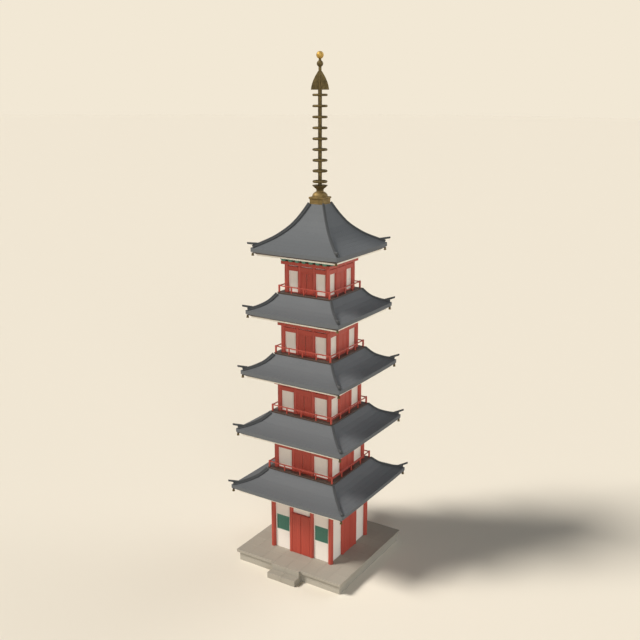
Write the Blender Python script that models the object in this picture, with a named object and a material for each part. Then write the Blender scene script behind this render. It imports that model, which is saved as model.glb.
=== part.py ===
"""A five-storied timber pagoda on a stone platform, at real size.

Metres, +Z up. The origin lies on the tower's axis at ground level, the steps and the
main doors face -Y. Each named object is one closed piece of the building.
"""
import math

import bmesh
import bpy
import numpy
from mathutils import Vector

# Gap left between two pieces that touch, and between a door and what it passes
GAP = 0.0003
RUNNING_GAP = 0.006

# How far a shape reaches into the one it is fused with, and a cutter past what it cuts
EMBED = 0.02
CUT_PAST = 0.10

# Points closer than this become one, flatter edges than this go, sharper ones stay sharp (degrees)
MERGE_DISTANCE = 0.00005
FLAT_ANGLE = 0.2
SHARP_ANGLE = 35

# Stone platform and its steps
PLATFORM_HALF = 4.40
PLATFORM_TOP = 0.885
COPING_THICK = 0.22
COPING_OVERHANG = 0.16
STEP_HALF_WIDTH = 1.15
STEP_FRONTS = (5.15, 4.60)

# Storeys: the body gets narrower by one equal step a storey
STOREYS = 5
BODY_HALF = 2.44
BODY_STEP_IN = 0.204
POST_RATIO = 0.355
GROUND_COLUMN_RADIUS = 0.175
UPPER_COLUMN_RADIUS = 0.158
POST_SLIMMER = 0.03
COLUMN_SIDES = 8

# Heights below the underside of each eave
HEAD_BEAM_LOW = 1.27
HEAD_BEAM_HIGH = 0.97
RING_BEAM_LOW = 0.85
RING_BEAM_HIGH = 0.62
BLOCK_HIGH = 0.36
EAVE_BOARD_LOW = 0.22
EAVE_BOARD_STEP = 0.16
FASCIA_LOW = 0.10

# Beams, and the bracket blocks that stand along each side at equal steps from corner to corner
HEAD_BEAM_HALF_THICK = 0.10
RING_BEAM_OUT = 0.29
RING_BEAM_IN = 0.12
BLOCK_STEPS = 6
BLOCK_OUT = 0.456
BLOCK_HALF_WIDTH = 0.14
INFILL_OUT = 0.02
INFILL_IN = 0.08
PURLIN_OUT = 0.42
PURLIN_IN = 0.10

# Plaster walls
WALL_SETBACK = 0.04
SLAB_THICK = 0.11
RING_WALL_THICK = 0.20
SILL_HIGH = 0.04
SILL_HALF_THICK = 0.09

# Doors and windows of the ground storey
THRESHOLD_HIGH = 0.08
LINTEL_LOW = 3.05
LINTEL_HIGH = 3.13
LEAF_THICK = 0.06
LEAF_FORWARD = 0.10
LEAF_SIDE_GAP = 0.012
PIVOT_FROM_EDGE = 0.03
PIVOT_RADIUS = 0.022
PIVOT_SIDES = 12
JAMB_IN_POST = 0.07
JAMB_FRONT = 0.005
JAMB_BACK = 0.04
MEETING_STRIP_HALF = 0.03
MEETING_STRIP_OUT = 0.012
WINDOW_HALF_WIDTH = 0.54
WINDOW_LOW = 1.44
WINDOW_HIGH = 2.61
WINDOW_THICK = 0.07
WINDOW_RECESS = 0.012
UPPER_DOOR_THICK = 0.08

# Roofs: each eave is one equal rise above the last, each roof one equal step narrower
EAVE_FIRST = 5.75
EAVE_RISE = 4.26
ROOF_HALF = 4.58
ROOF_STEP_IN = 0.307
EDGE_HIGH = 0.27
CORNER_LIFT = 0.05
TILE_BED_THICK = 0.30
UNDERSIDE_FLAT = 0.90
EAVE_BOARD_INSET = 0.30
EAVE_BOARD_STEP_INSET = 0.27
FASCIA_INSET = 0.22
ROOF_INNER_LEVELS = 3
ROW_BEND_PLACE = 0.55

# Bends of a roof's slope, from the eave's edge to the seat, as parts of its run and of its rise
ROOF_BENDS = [(0.0, 0.0), (0.18, 0.08), (0.38, 0.18), (0.75, 0.51), (1.0, 1.0)]
TOP_ROOF_BENDS = [(0.0, 0.0), (0.28, 0.145), (0.56, 0.335), (0.88, 0.72), (1.0, 1.0)]

# Hip ridges and the horn tiles at their feet
RIDGE_SIDE = 0.18
RIDGE_HIGH = 0.17
RIDGE_TOP_SIDE = 0.13
RIDGE_SHOULDER = 0.62
RIDGE_FOOT_HIGH = 0.03
RIDGE_SINK = 0.03
RIDGE_END = 0.10
HORN_BACK = 0.34
HORN_OUT = 0.17
HORN_TIP_HIGH = 0.725
HORN_THICK = 0.12
HORN_TIP_THICK = 0.09
HORN_HALF_WIDTH = 0.06
HORN_TIP_HALF_WIDTH = 0.045

# Corner rafters and the wind bells that hang from them
RAFTER_HALF_WIDTH = 0.06
RAFTER_DEEP = 0.05
RAFTER_BACK = 0.45
RAFTER_END = 0.04
BELL_IN = 0.10
BELL_RADIUS = 0.085
BELL_SHOULDER_RADIUS = 0.068
BELL_CROWN_RADIUS = 0.038
BELL_CROWN_LOW = 0.03
BELL_SHOULDER_LOW = 0.09
BELL_LOW = 0.22
BELL_SIDES = 8

# Balconies
BALCONY_RISE = 1.425
BALCONY_RISE_GROWTH = 0.017
BALCONY_OUT = 0.38
BALCONY_EDGE = 0.10
BALCONY_THICK = 0.12
ROOF_RIM = 0.35
RAIL_HIGH = 0.47
RAIL_HALF = 0.03
RAIL_POST_HALF = 0.035
RAIL_CORNER_HALF = 0.05
RAIL_CORNER_PROUD = 0.03
RAIL_BAYS = 4

# Spire, heights above the ground
ROBAN_HALF = 0.505
ROBAN_LIP = 0.047
ROBAN_LOW = 25.91
ROBAN_LIP_LOW = 26.26
ROBAN_HIGH = 26.38
DOME_RADIUS = 0.545
DOME_TURNS = (0, 20, 40, 58)
DOME_HIGH = 26.77
LOTUS_HIGH = 27.14
LOTUS_FOOT_RADIUS = 0.25
LOTUS_WAIST_RADIUS = 0.275
LOTUS_WAIST_RISE = 0.08
LOTUS_SHOULDER_RADIUS = 0.42
LOTUS_SHOULDER_RISE = 0.27
LOTUS_RADIUS = 0.52
MAST_RADIUS = 0.13
MAST_SIDES = 12
RING_COUNT = 9
RING_FIRST = 27.38
RING_PITCH = 0.695
RING_RADIUS = 0.425
RING_TUBE = 0.08
RING_TUBE_SIDES = 4
SPOKE_HALF = 0.02
FLAME_LOW = 33.26
FLAME_SHOULDER = 33.90
FLAME_HIGH = 34.43
FLAME_RADIUS = 0.60
FLAME_SHOULDER_RADIUS = 0.45
FLAME_TIP_RADIUS = 0.11
FLAME_ROOT_RADIUS = 0.06
FLAME_HALF_THICK = 0.03
NECK_RADIUS = 0.10
NECK_LOW = 34.23
NECK_HIGH = 34.48
ROUND_SIDES = 16
LOWER_JEWEL_CENTRE = 34.88
LOWER_JEWEL_RADIUS = 0.21
UPPER_JEWEL_CENTRE = 35.41
UPPER_JEWEL_RADIUS = 0.24
JEWEL_TURNS = (-60, -30, 0, 30, 60)
ROOF_TOP_HOLE = 0.20

# Finishes: base colour, roughness, metallic
FINISHES = {
    "stone": ((0.37, 0.31, 0.24), 0.85, 0.0),
    "pale_stone": ((0.52, 0.47, 0.38), 0.85, 0.0),
    "vermilion": ((0.40, 0.07, 0.04), 0.55, 0.0),
    "plaster": ((0.78, 0.71, 0.60), 0.80, 0.0),
    "green_paint": ((0.06, 0.17, 0.11), 0.60, 0.0),
    "brown_wood": ((0.07, 0.035, 0.02), 0.70, 0.0),
    "cream_board": ((0.75, 0.65, 0.50), 0.75, 0.0),
    "grey_tile": ((0.14, 0.145, 0.15), 0.55, 0.0),
    "bronze": ((0.16, 0.11, 0.04), 0.45, 0.8),
    "gold": ((0.80, 0.50, 0.12), 0.30, 1.0),
}


# Each side's name, with the names of its halves, by quarter turns from the front
SIDES = [
    ("front", "left", "right"),
    ("right", "front", "back"),
    ("back", "right", "left"),
    ("left", "back", "front"),
]


def remove_everything():
    for thing in list(bpy.data.objects):
        bpy.data.objects.remove(thing)


def finish(name):
    found = bpy.data.materials.get(name)
    if found:
        return found
    colour, roughness, metallic = FINISHES[name]
    made = bpy.data.materials.new(name)
    made.use_nodes = True
    shader = made.node_tree.nodes["Principled BSDF"]
    shader.inputs["Base Color"].default_value = (*colour, 1.0)
    shader.inputs["Roughness"].default_value = roughness
    shader.inputs["Metallic"].default_value = metallic
    return made


def body_half(storey):
    return BODY_HALF - BODY_STEP_IN * storey


def post_at(storey):
    return POST_RATIO * body_half(storey)


def column_radius(storey):
    return GROUND_COLUMN_RADIUS if storey == 0 else UPPER_COLUMN_RADIUS


def leaf_edge():
    """How far a door leaf of the ground storey reaches from the middle of its side."""
    return post_at(0) - GROUND_COLUMN_RADIUS + POST_SLIMMER - LEAF_SIDE_GAP


def eave(storey):
    return EAVE_FIRST + EAVE_RISE * storey


def floor_top(storey):
    if storey == 0:
        return PLATFORM_TOP
    return eave(storey - 1) + BALCONY_RISE + BALCONY_RISE_GROWTH * (storey - 1)


def roof_half(storey):
    return ROOF_HALF - ROOF_STEP_IN * storey


def balcony_half(storey):
    return body_half(storey) + BALCONY_OUT


# Closed shells, each a list of points and a list of faces that point outwards


def box(low, high):
    points = [Vector((x, y, z))
              for z in (low[2], high[2])
              for y in (low[1], high[1])
              for x in (low[0], high[0])]
    faces = [(0, 2, 3, 1), (4, 5, 7, 6), (0, 1, 5, 4), (1, 3, 7, 5), (3, 2, 6, 7), (2, 0, 4, 6)]
    return points, faces


def lathe(profile, sides, centre=(0.0, 0.0)):
    """A turned solid: profile is (radius, height) from the bottom up, closed by flat ends or by points."""
    points = []
    rows = []
    for radius, height in profile:
        if radius == 0:
            rows.append([len(points)] * sides)
            points.append(Vector((centre[0], centre[1], height)))
            continue
        rows.append([len(points) + step for step in range(sides)])
        for step in range(sides):
            angle = 2 * math.pi * (step + 0.5) / sides
            across = radius * math.cos(angle)
            deep = radius * math.sin(angle)
            points.append(Vector((centre[0] + across, centre[1] + deep, height)))
    faces = []
    for lower, upper in zip(rows, rows[1:]):
        for step in range(sides):
            after = (step + 1) % sides
            corners = [lower[step], lower[after], upper[after], upper[step]]
            faces.append(tuple(dict.fromkeys(corners)))
    if profile[0][0] > 0:
        faces.append(tuple(reversed(rows[0])))
    if profile[-1][0] > 0:
        faces.append(tuple(rows[-1]))
    return points, faces


def tube_of_rows(rows, closed_ends, caps=None):
    """Skin over rows of points. Each row is a closed loop; the rows join in order, and either the
    last joins the first again or both ends get flat faces: one each, or those that caps lists."""
    points = [point for row in rows for point in row]
    count = len(rows[0])
    faces = []
    last = len(rows) - 1 if closed_ends else len(rows)
    for index in range(last):
        lower = index * count
        upper = (index + 1) % len(rows) * count
        for step in range(count):
            after = (step + 1) % count
            faces.append((lower + step, lower + after, upper + after, upper + step))
    if closed_ends:
        for cap in caps or [tuple(range(count))]:
            faces.append(tuple(reversed(cap)))
            faces.append(tuple(last * count + corner for corner in cap))
    return points, faces


def square_row(half, height):
    return [Vector((sx * half, sy * half, height)) for sx, sy in ((-1, -1), (1, -1), (1, 1), (-1, 1))]


def square_ring(outer, inner, low, high):
    """A square tube standing on its end, from the inner to the outer half width."""
    profile = ((inner, low), (outer, low), (outer, high), (inner, high))
    return tube_of_rows([square_row(half, height) for half, height in profile], closed_ends=False)


def square_steps(profile):
    """A solid with a square plan: profile is (half width, height) from the bottom up."""
    return tube_of_rows([square_row(half, height) for half, height in profile], closed_ends=True)


def turned(shell, quarters):
    """The shell turned about +Z by whole quarter turns, front to right first."""
    points = shell[0]
    for _ in range(quarters % 4):
        points = [Vector((-point.y, point.x, point.z)) for point in points]
    return points, shell[1]


def turned_by(shell, angle):
    cosine, sine = math.cos(angle), math.sin(angle)
    points = [Vector((cosine * p.x - sine * p.y, sine * p.x + cosine * p.y, p.z)) for p in shell[0]]
    return points, shell[1]


def mirrored_x(shell):
    points = [Vector((-point.x, point.y, point.z)) for point in shell[0]]
    return points, [tuple(reversed(face)) for face in shell[1]]


def all_round(shells):
    return [turned(shell, quarters) for quarters in range(4) for shell in shells]


def mesh_from(name, shells):
    points = []
    faces = []
    for shell_points, shell_faces in shells:
        start = len(points)
        points += [tuple(point) for point in shell_points]
        faces += [tuple(start + corner for corner in face) for face in shell_faces]
    mesh = bpy.data.meshes.new(name)
    mesh.from_pydata(points, [], faces)
    mesh.validate()
    return mesh


def add_object(name, mesh, finish_name, smooth=False):
    thing = bpy.data.objects.new(name, mesh)
    bpy.context.scene.collection.objects.link(thing)
    mesh.materials.clear()
    mesh.materials.append(finish(finish_name))
    if smooth:
        mesh.shade_smooth()
        mesh.set_sharp_from_angle(angle=math.radians(SHARP_ANGLE))
    return thing


def combined(operation, first, others):
    """The mesh that a Boolean makes of one shell and the others."""
    base = add_object("base_shape", mesh_from("base_shape", first), "stone")
    tool = add_object("tool_shape", mesh_from("tool_shape", others), "stone")
    modifier = base.modifiers.new("shape", "BOOLEAN")
    modifier.operation = operation
    modifier.solver = "EXACT"
    modifier.use_self = True
    modifier.object = tool
    bpy.context.view_layer.update()
    evaluated = base.evaluated_get(bpy.context.evaluated_depsgraph_get())
    mesh = bpy.data.meshes.new_from_object(evaluated)
    bpy.data.objects.remove(base)
    bpy.data.objects.remove(tool)
    tidy_mesh(mesh)
    return mesh


def tidy_mesh(mesh):
    work = bmesh.new()
    work.from_mesh(mesh)
    bmesh.ops.remove_doubles(work, verts=work.verts, dist=MERGE_DISTANCE)
    bmesh.ops.dissolve_degenerate(work, edges=work.edges, dist=MERGE_DISTANCE)
    flat = math.radians(FLAT_ANGLE)
    bmesh.ops.dissolve_limit(work, angle_limit=flat, verts=work.verts, edges=work.edges)
    work.to_mesh(mesh)
    work.free()


def fused(name, shells, finish_name, smooth=False):
    return add_object(name, combined("UNION", shells[:1], shells[1:]), finish_name, smooth)


def plain(name, shell, finish_name, smooth=False):
    return add_object(name, mesh_from(name, [shell]), finish_name, smooth)


# Platform


def build_platform():
    base_half = PLATFORM_HALF - COPING_OVERHANG
    coping_low = PLATFORM_TOP - COPING_THICK
    base = box((-base_half, -base_half, 0), (base_half, base_half, coping_low - GAP))
    plain("platform_base", base, "pale_stone")
    coping_low_corner = (-PLATFORM_HALF, -PLATFORM_HALF, coping_low)
    coping_high_corner = (PLATFORM_HALF, PLATFORM_HALF, PLATFORM_TOP - GAP)
    plain("platform_coping", box(coping_low_corner, coping_high_corner), "stone")
    lower, upper = STEP_FRONTS
    top = PLATFORM_TOP - GAP
    treads = [((-STEP_HALF_WIDTH, -lower, 0), (STEP_HALF_WIDTH, -base_half - GAP, top / 2)),
              ((-STEP_HALF_WIDTH, -upper, 0), (STEP_HALF_WIDTH, -base_half - GAP, coping_low - GAP)),
              ((-STEP_HALF_WIDTH, -upper, 0), (STEP_HALF_WIDTH, -PLATFORM_HALF - GAP, top))]
    fused("front_steps", [box(low, high) for low, high in treads], "stone")


# Timber frame


def frame_shells(storey, grow=0.0):
    """Columns, door posts, beams and bracket blocks of one storey. grow swells each piece, for the
    shape that is cut out of the plaster round it."""
    half = body_half(storey)
    post = post_at(storey)
    radius = column_radius(storey) + grow
    past = CUT_PAST if grow else 0.0
    low = floor_top(storey) - past
    under = eave(storey)
    head_low = under - HEAD_BEAM_LOW - grow
    head_high = under - HEAD_BEAM_HIGH + grow
    column_top = under - RING_BEAM_LOW + EMBED + past
    thick = HEAD_BEAM_HALF_THICK + grow
    shells = [square_ring(half + thick, half - thick, head_low, head_high)]
    side = [lathe([(radius, low), (radius, column_top)], COLUMN_SIDES, (-half, -half))]
    slim = radius - POST_SLIMMER
    for place in (-post, post):
        side.append(lathe([(slim, low), (slim, column_top)], COLUMN_SIDES, (place, -half)))
    if storey:
        sill = SILL_HALF_THICK + grow
        shells.append(square_ring(half + sill, half - sill, low, floor_top(storey) + SILL_HIGH + grow))
        door = UPPER_DOOR_THICK / 2 + grow
        side.append(box((-post, -half - door, low), (post, -half + door, head_low + EMBED)))
    shells += all_round(side)
    if not grow:
        shells += bracket_shells(storey)
    if storey == 0:
        shells += all_round(doorway_shells(half, post, grow))
    return shells


def bracket_shells(storey):
    """Ring beam, bracket blocks with the infill between them, and the purlin under the eave board."""
    half = body_half(storey)
    under = eave(storey)
    ring_high = under - RING_BEAM_HIGH
    block_high = under - BLOCK_HIGH
    purlin_high = under - EAVE_BOARD_LOW - GAP
    shells = [square_ring(half + RING_BEAM_OUT, half - RING_BEAM_IN, under - RING_BEAM_LOW, ring_high)]
    shells.append(square_ring(half + INFILL_OUT, half - INFILL_IN, ring_high - EMBED, block_high + EMBED))
    shells.append(square_ring(half + PURLIN_OUT, half - PURLIN_IN, block_high, purlin_high))
    blocks = []
    for index in range(BLOCK_STEPS + 1):
        place = -half + 2 * half * index / BLOCK_STEPS
        low_corner = (place - BLOCK_HALF_WIDTH, -half - BLOCK_OUT, ring_high - EMBED)
        high_corner = (place + BLOCK_HALF_WIDTH, -half - INFILL_OUT + EMBED, block_high + EMBED)
        blocks.append(box(low_corner, high_corner))
    return shells + all_round(blocks)


def doorway_shells(half, post, grow):
    """Threshold, lintel and jambs between two door posts of the front."""
    thick = HEAD_BEAM_HALF_THICK + grow
    threshold_high = PLATFORM_TOP + THRESHOLD_HIGH
    lintel_low = PLATFORM_TOP + LINTEL_LOW - grow
    lintel_high = PLATFORM_TOP + LINTEL_HIGH + grow
    threshold = box((-post, -half - thick, PLATFORM_TOP), (post, -half + thick, threshold_high))
    lintel = box((-post, -half - thick - LEAF_THICK / 2, lintel_low), (post, -half + thick, lintel_high))
    heel = math.hypot(PIVOT_FROM_EDGE, LEAF_THICK / 2)
    jamb_side = leaf_edge() - PIVOT_FROM_EDGE + heel + RUNNING_GAP
    jamb = box((jamb_side, -half - LEAF_FORWARD - LEAF_THICK / 2 - JAMB_FRONT, threshold_high - EMBED),
               (post - JAMB_IN_POST, -half + JAMB_BACK, lintel_low + EMBED))
    return [threshold, lintel, jamb, mirrored_x(jamb)]


def build_frames():
    names = ["ground_frame"] + [f"storey_{number}_frame" for number in range(2, STOREYS + 1)]
    for storey, name in enumerate(names):
        fused(name, frame_shells(storey), "vermilion", smooth=True)


# Plaster


def build_upper_walls():
    """One ring of plaster a storey, cut away where the timbers and doors pass."""
    for storey in range(STOREYS):
        half = body_half(storey) - WALL_SETBACK
        low = PLATFORM_TOP + LINTEL_HIGH + GAP if storey == 0 else floor_top(storey) + GAP
        high = eave(storey) - RING_BEAM_LOW - GAP
        ring = square_ring(half, half - RING_WALL_THICK, low, high)
        name = "ground_wall_band" if storey == 0 else f"storey_{storey + 1}_walls"
        mesh = combined("DIFFERENCE", [ring], frame_shells(storey, grow=GAP))
        add_object(name, mesh, "plaster")


def slab_ends():
    inner = post_at(0) + GROUND_COLUMN_RADIUS - POST_SLIMMER + GAP
    outer = BODY_HALF - GROUND_COLUMN_RADIUS - GAP
    return inner, outer


def build_ground_walls():
    inner, outer = slab_ends()
    front = -(BODY_HALF - WALL_SETBACK)
    back = front + SLAB_THICK
    low = PLATFORM_TOP
    high = PLATFORM_TOP + LINTEL_HIGH
    middle = (inner + outer) / 2
    hole_low = (middle - WINDOW_HALF_WIDTH, front - CUT_PAST, PLATFORM_TOP + WINDOW_LOW)
    hole_high = (middle + WINDOW_HALF_WIDTH, back + CUT_PAST, PLATFORM_TOP + WINDOW_HIGH)
    pane_low = (hole_low[0] + GAP, front + WINDOW_RECESS, hole_low[2] + GAP)
    pane_high = (hole_high[0] - GAP, front + WINDOW_RECESS + WINDOW_THICK, hole_high[2] - GAP)
    slab = box((inner, front, low), (outer, back, high))
    hole = box(hole_low, hole_high)
    pane = box(pane_low, pane_high)
    right_half = (slab, hole, pane)
    left_half = tuple(mirrored_x(shell) for shell in right_half)
    for quarters, (side, first, second) in enumerate(SIDES):
        for label, (piece, cut, glass) in ((first, left_half), (second, right_half)):
            name = f"{side}_wall_{label}"
            if quarters % 2:
                plain(name, turned(piece, quarters), "plaster")
                continue
            mesh = combined("DIFFERENCE", [turned(piece, quarters)], [turned(cut, quarters)])
            add_object(name, mesh, "plaster")
            plain(f"{side}_window_{label}", turned(glass, quarters), "green_paint")


# Doors


def leaf_shells():
    """One leaf of the front doorway, hung at +X, with its pivots at top and bottom."""
    edge = leaf_edge()
    middle = -BODY_HALF - LEAF_FORWARD
    low = PLATFORM_TOP + THRESHOLD_HIGH
    high = PLATFORM_TOP + LINTEL_LOW
    board = box((RUNNING_GAP / 2, middle - LEAF_THICK / 2, low + RUNNING_GAP),
                (edge, middle + LEAF_THICK / 2, high - RUNNING_GAP))
    pivot = (edge - PIVOT_FROM_EDGE, middle)
    pin = lathe([(PIVOT_RADIUS, low + GAP), (PIVOT_RADIUS, high - GAP)], PIVOT_SIDES, pivot)
    return board, pin, pivot


def build_doors():
    """The front and the right side have two leaves that open, the other sides a closed pair."""
    board, pin, pivot = leaf_shells()
    middle = -BODY_HALF - LEAF_FORWARD
    strip = box((-MEETING_STRIP_HALF, middle - LEAF_THICK / 2 - MEETING_STRIP_OUT,
                 PLATFORM_TOP + THRESHOLD_HIGH + RUNNING_GAP),
                (MEETING_STRIP_HALF, middle + LEAF_THICK / 2, PLATFORM_TOP + LINTEL_LOW - RUNNING_GAP))
    for quarters, (side, first, second) in enumerate(SIDES):
        if side in ("back", "left"):
            pieces = [strip, board, pin, mirrored_x(board), mirrored_x(pin)]
            fused(f"{side}_doors", [turned(piece, quarters) for piece in pieces], "vermilion")
            continue
        for label, flip in ((first, True), (second, False)):
            pieces = [mirrored_x(piece) if flip else piece for piece in (board, pin)]
            sign = -1 if flip else 1
            leaf = fused(f"{side}_door_{label}", [turned(piece, quarters) for piece in pieces], "vermilion")
            place = turned(([Vector((sign * pivot[0], pivot[1], 0))], []), quarters)[0][0]
            for vertex in leaf.data.vertices:
                vertex.co -= place
            leaf.location = place


# Roofs


def roof_top(storey):
    """Half width and height of the flat seat at the top of a roof."""
    if storey == STOREYS - 1:
        return ROBAN_HALF, ROBAN_LOW - GAP
    seat = balcony_half(storey + 1) + BALCONY_EDGE
    return seat, floor_top(storey + 1) - BALCONY_THICK - GAP


def roof_bends(storey):
    return TOP_ROOF_BENDS if storey == STOREYS - 1 else ROOF_BENDS


def tile_height(storey, half):
    """Height of the tiles at the middle of a side, at one half width between the seat and the eave."""
    outer = roof_half(storey)
    seat, seat_height = roof_top(storey)
    start = eave(storey) + EDGE_HIGH
    away = (outer - half) / (outer - seat)
    runs, rises = zip(*roof_bends(storey))
    return start + (seat_height - start) * float(numpy.interp(away, runs, rises))


def corner_lift(storey, half, along):
    """How far the roof rises towards its corners, most at the eave."""
    outer = roof_half(storey)
    seat = roof_top(storey)[0]
    outward = max(0.0, (half - seat) / (outer - seat))
    return CORNER_LIFT * outward ** 2 * (abs(along) / half) ** 4


def ring_places(half):
    """Where a row of the roof has points on each side: at the corner, beside its ridges and between."""
    inner = half - RIDGE_SIDE
    return [-half, -inner, -ROW_BEND_PLACE * inner, 0.0, ROW_BEND_PLACE * inner, inner]


def roof_row(storey, half, height, lifted=1.0):
    row = []
    for quarters in range(4):
        side = []
        for along in ring_places(half):
            side.append(Vector((along, -half, height + lifted * corner_lift(storey, half, along))))
        row += turned((side, []), quarters)[0]
    return row


def roof_levels(storey):
    outer = roof_half(storey)
    seat = roof_top(storey)[0]
    return [outer + (seat - outer) * run for run, _ in roof_bends(storey)]


def tile_shell(storey):
    """The tiled roof with its bed: flat below, open in the middle, hollow under the slopes."""
    under = eave(storey)
    outer = roof_half(storey)
    seat, seat_height = roof_top(storey)
    rim = seat - (ROOF_RIM if storey < STOREYS - 1 else seat - ROOF_TOP_HOLE)
    rows = [roof_row(storey, outer - UNDERSIDE_FLAT, under, 0.0)]
    rows.append(roof_row(storey, outer - FASCIA_INSET, under, 0.0))
    rows.append(roof_row(storey, outer, under))
    rows += [roof_row(storey, half, tile_height(storey, half)) for half in roof_levels(storey)]
    rows.append(roof_row(storey, rim, seat_height, 0.0))
    rows.append(roof_row(storey, rim, seat_height - TILE_BED_THICK, 0.0))
    start = outer - UNDERSIDE_FLAT
    for level in range(1, ROOF_INNER_LEVELS):
        half = rim + (start - rim) * level / ROOF_INNER_LEVELS
        rows.append(roof_row(storey, half, tile_height(storey, half) - TILE_BED_THICK, 0.0))
    return tube_of_rows(rows, closed_ends=False)


def ridge_shell(storey):
    """The hip ridge over the front left corner, bedded on the tiles with a little overlap."""
    rows = []
    levels = roof_levels(storey)
    levels[0] = roof_half(storey) - RIDGE_END
    side = RIDGE_SIDE
    top = RIDGE_TOP_SIDE
    for half in levels:
        height = tile_height(storey, half)
        crown = height + corner_lift(storey, half, half)
        wing = height + corner_lift(storey, half, half - side)
        shoulder = crown + RIDGE_HIGH * RIDGE_SHOULDER
        rows.append([
            Vector((-half, -half, crown - RIDGE_SINK)),
            Vector((-half, -half + side, wing - RIDGE_SINK)),
            Vector((-half, -half + side, wing + RIDGE_FOOT_HIGH)),
            Vector((-half, -half + top, shoulder)),
            Vector((-half, -half, crown + RIDGE_HIGH)),
            Vector((-half + top, -half, shoulder)),
            Vector((-half + side, -half, wing + RIDGE_FOOT_HIGH)),
            Vector((-half + side, -half, wing - RIDGE_SINK)),
        ])
    return tube_of_rows(rows, closed_ends=True, caps=[(0, 1, 2, 3, 4), (0, 4, 5, 6, 7)])


def horn_shell(storey):
    """The horn tile at the ridge's foot: a straight tapered bar that rises outwards."""
    outer = roof_half(storey)
    back = outer - HORN_BACK
    back_high = tile_height(storey, back) + corner_lift(storey, back, back) + RIDGE_HIGH
    shape = []
    tip = outer + HORN_OUT
    tip_high = eave(storey) + HORN_TIP_HIGH
    for half, high, thick, width in ((back, back_high, HORN_THICK, HORN_HALF_WIDTH),
                                     (tip, tip_high, HORN_TIP_THICK, HORN_TIP_HALF_WIDTH)):
        across = width / math.sqrt(2)
        shape.append([
            Vector((-half + across, -half - across, high - thick)),
            Vector((-half + across, -half - across, high)),
            Vector((-half - across, -half + across, high)),
            Vector((-half - across, -half + across, high - thick)),
        ])
    return tube_of_rows(shape, closed_ends=True)


def build_roofs():
    for storey in range(STOREYS):
        shells = [tile_shell(storey)]
        shells += all_round([ridge_shell(storey), horn_shell(storey)])
        fused(f"roof_{storey + 1}", shells, "grey_tile", smooth=True)


def build_eave_boards():
    """Stepped board under each roof, which is also the ceiling, with corner rafters and bells."""
    for storey in range(STOREYS):
        under = eave(storey)
        outer = roof_half(storey)
        lower = outer - EAVE_BOARD_INSET
        upper = outer - EAVE_BOARD_STEP_INSET
        fascia = outer - FASCIA_INSET
        board = square_steps([
            (lower, under - EAVE_BOARD_LOW),
            (lower, under - EAVE_BOARD_STEP),
            (upper, under - EAVE_BOARD_STEP),
            (upper, under - FASCIA_LOW),
            (fascia, under - FASCIA_LOW),
            (fascia, under - GAP),
        ])
        corners = all_round([rafter_shell(storey), bell_shell(storey)])
        fused(f"eave_board_{storey + 1}", [board] + corners, "cream_board")


def rafter_shell(storey):
    """The beam that carries one corner of the eave, running out along the diagonal."""
    outer = roof_half(storey)
    reach = math.sqrt(2)
    under = eave(storey)
    shell = box(((outer - RAFTER_BACK) * reach, -RAFTER_HALF_WIDTH, under - RAFTER_DEEP),
                ((outer - RAFTER_END) * reach, RAFTER_HALF_WIDTH, under - GAP))
    return turned_by(shell, -math.pi * 3 / 4)


def bell_shell(storey):
    place = -(roof_half(storey) - BELL_IN)
    under = eave(storey)
    profile = [(BELL_RADIUS, under - BELL_LOW), (BELL_SHOULDER_RADIUS, under - BELL_SHOULDER_LOW),
               (BELL_CROWN_RADIUS, under - BELL_CROWN_LOW)]
    return lathe(profile, BELL_SIDES, (place, place))


# Balconies


def build_balconies():
    for storey in range(1, STOREYS):
        top = floor_top(storey)
        rail = balcony_half(storey)
        edge = rail + BALCONY_EDGE
        floor = box((-edge, -edge, top - BALCONY_THICK), (edge, edge, top - GAP))
        plain(f"balcony_{storey + 1}_floor", floor, "brown_wood")
        rail_top = top + RAIL_HIGH
        shells = [square_ring(rail + RAIL_HALF, rail - RAIL_HALF, rail_top - 2 * RAIL_HALF, rail_top)]
        posts = []
        for index in range(RAIL_BAYS):
            along = -rail + 2 * rail * index / RAIL_BAYS
            thick = RAIL_POST_HALF if index else RAIL_CORNER_HALF
            high = rail_top - RAIL_HALF if index else rail_top + RAIL_CORNER_PROUD
            posts.append(box((along - thick, -rail - thick, top), (along + thick, -rail + thick, high)))
        fused(f"balcony_{storey + 1}_rail", shells + all_round(posts), "vermilion")


# Spire


def ring_shell(height):
    """One ring of the spire: a round hoop with a tube of few sides."""
    rows = []
    for step in range(ROUND_SIDES):
        angle = 2 * math.pi * step / ROUND_SIDES
        row = []
        for part in range(RING_TUBE_SIDES):
            turn = 2 * math.pi * part / RING_TUBE_SIDES
            radius = RING_RADIUS + RING_TUBE * math.cos(turn)
            level = height + RING_TUBE * math.sin(turn)
            row.append(Vector((radius * math.cos(angle), radius * math.sin(angle), level)))
        rows.append(row)
    points, faces = tube_of_rows(rows, closed_ends=False)
    return points, [tuple(reversed(face)) for face in faces]


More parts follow.
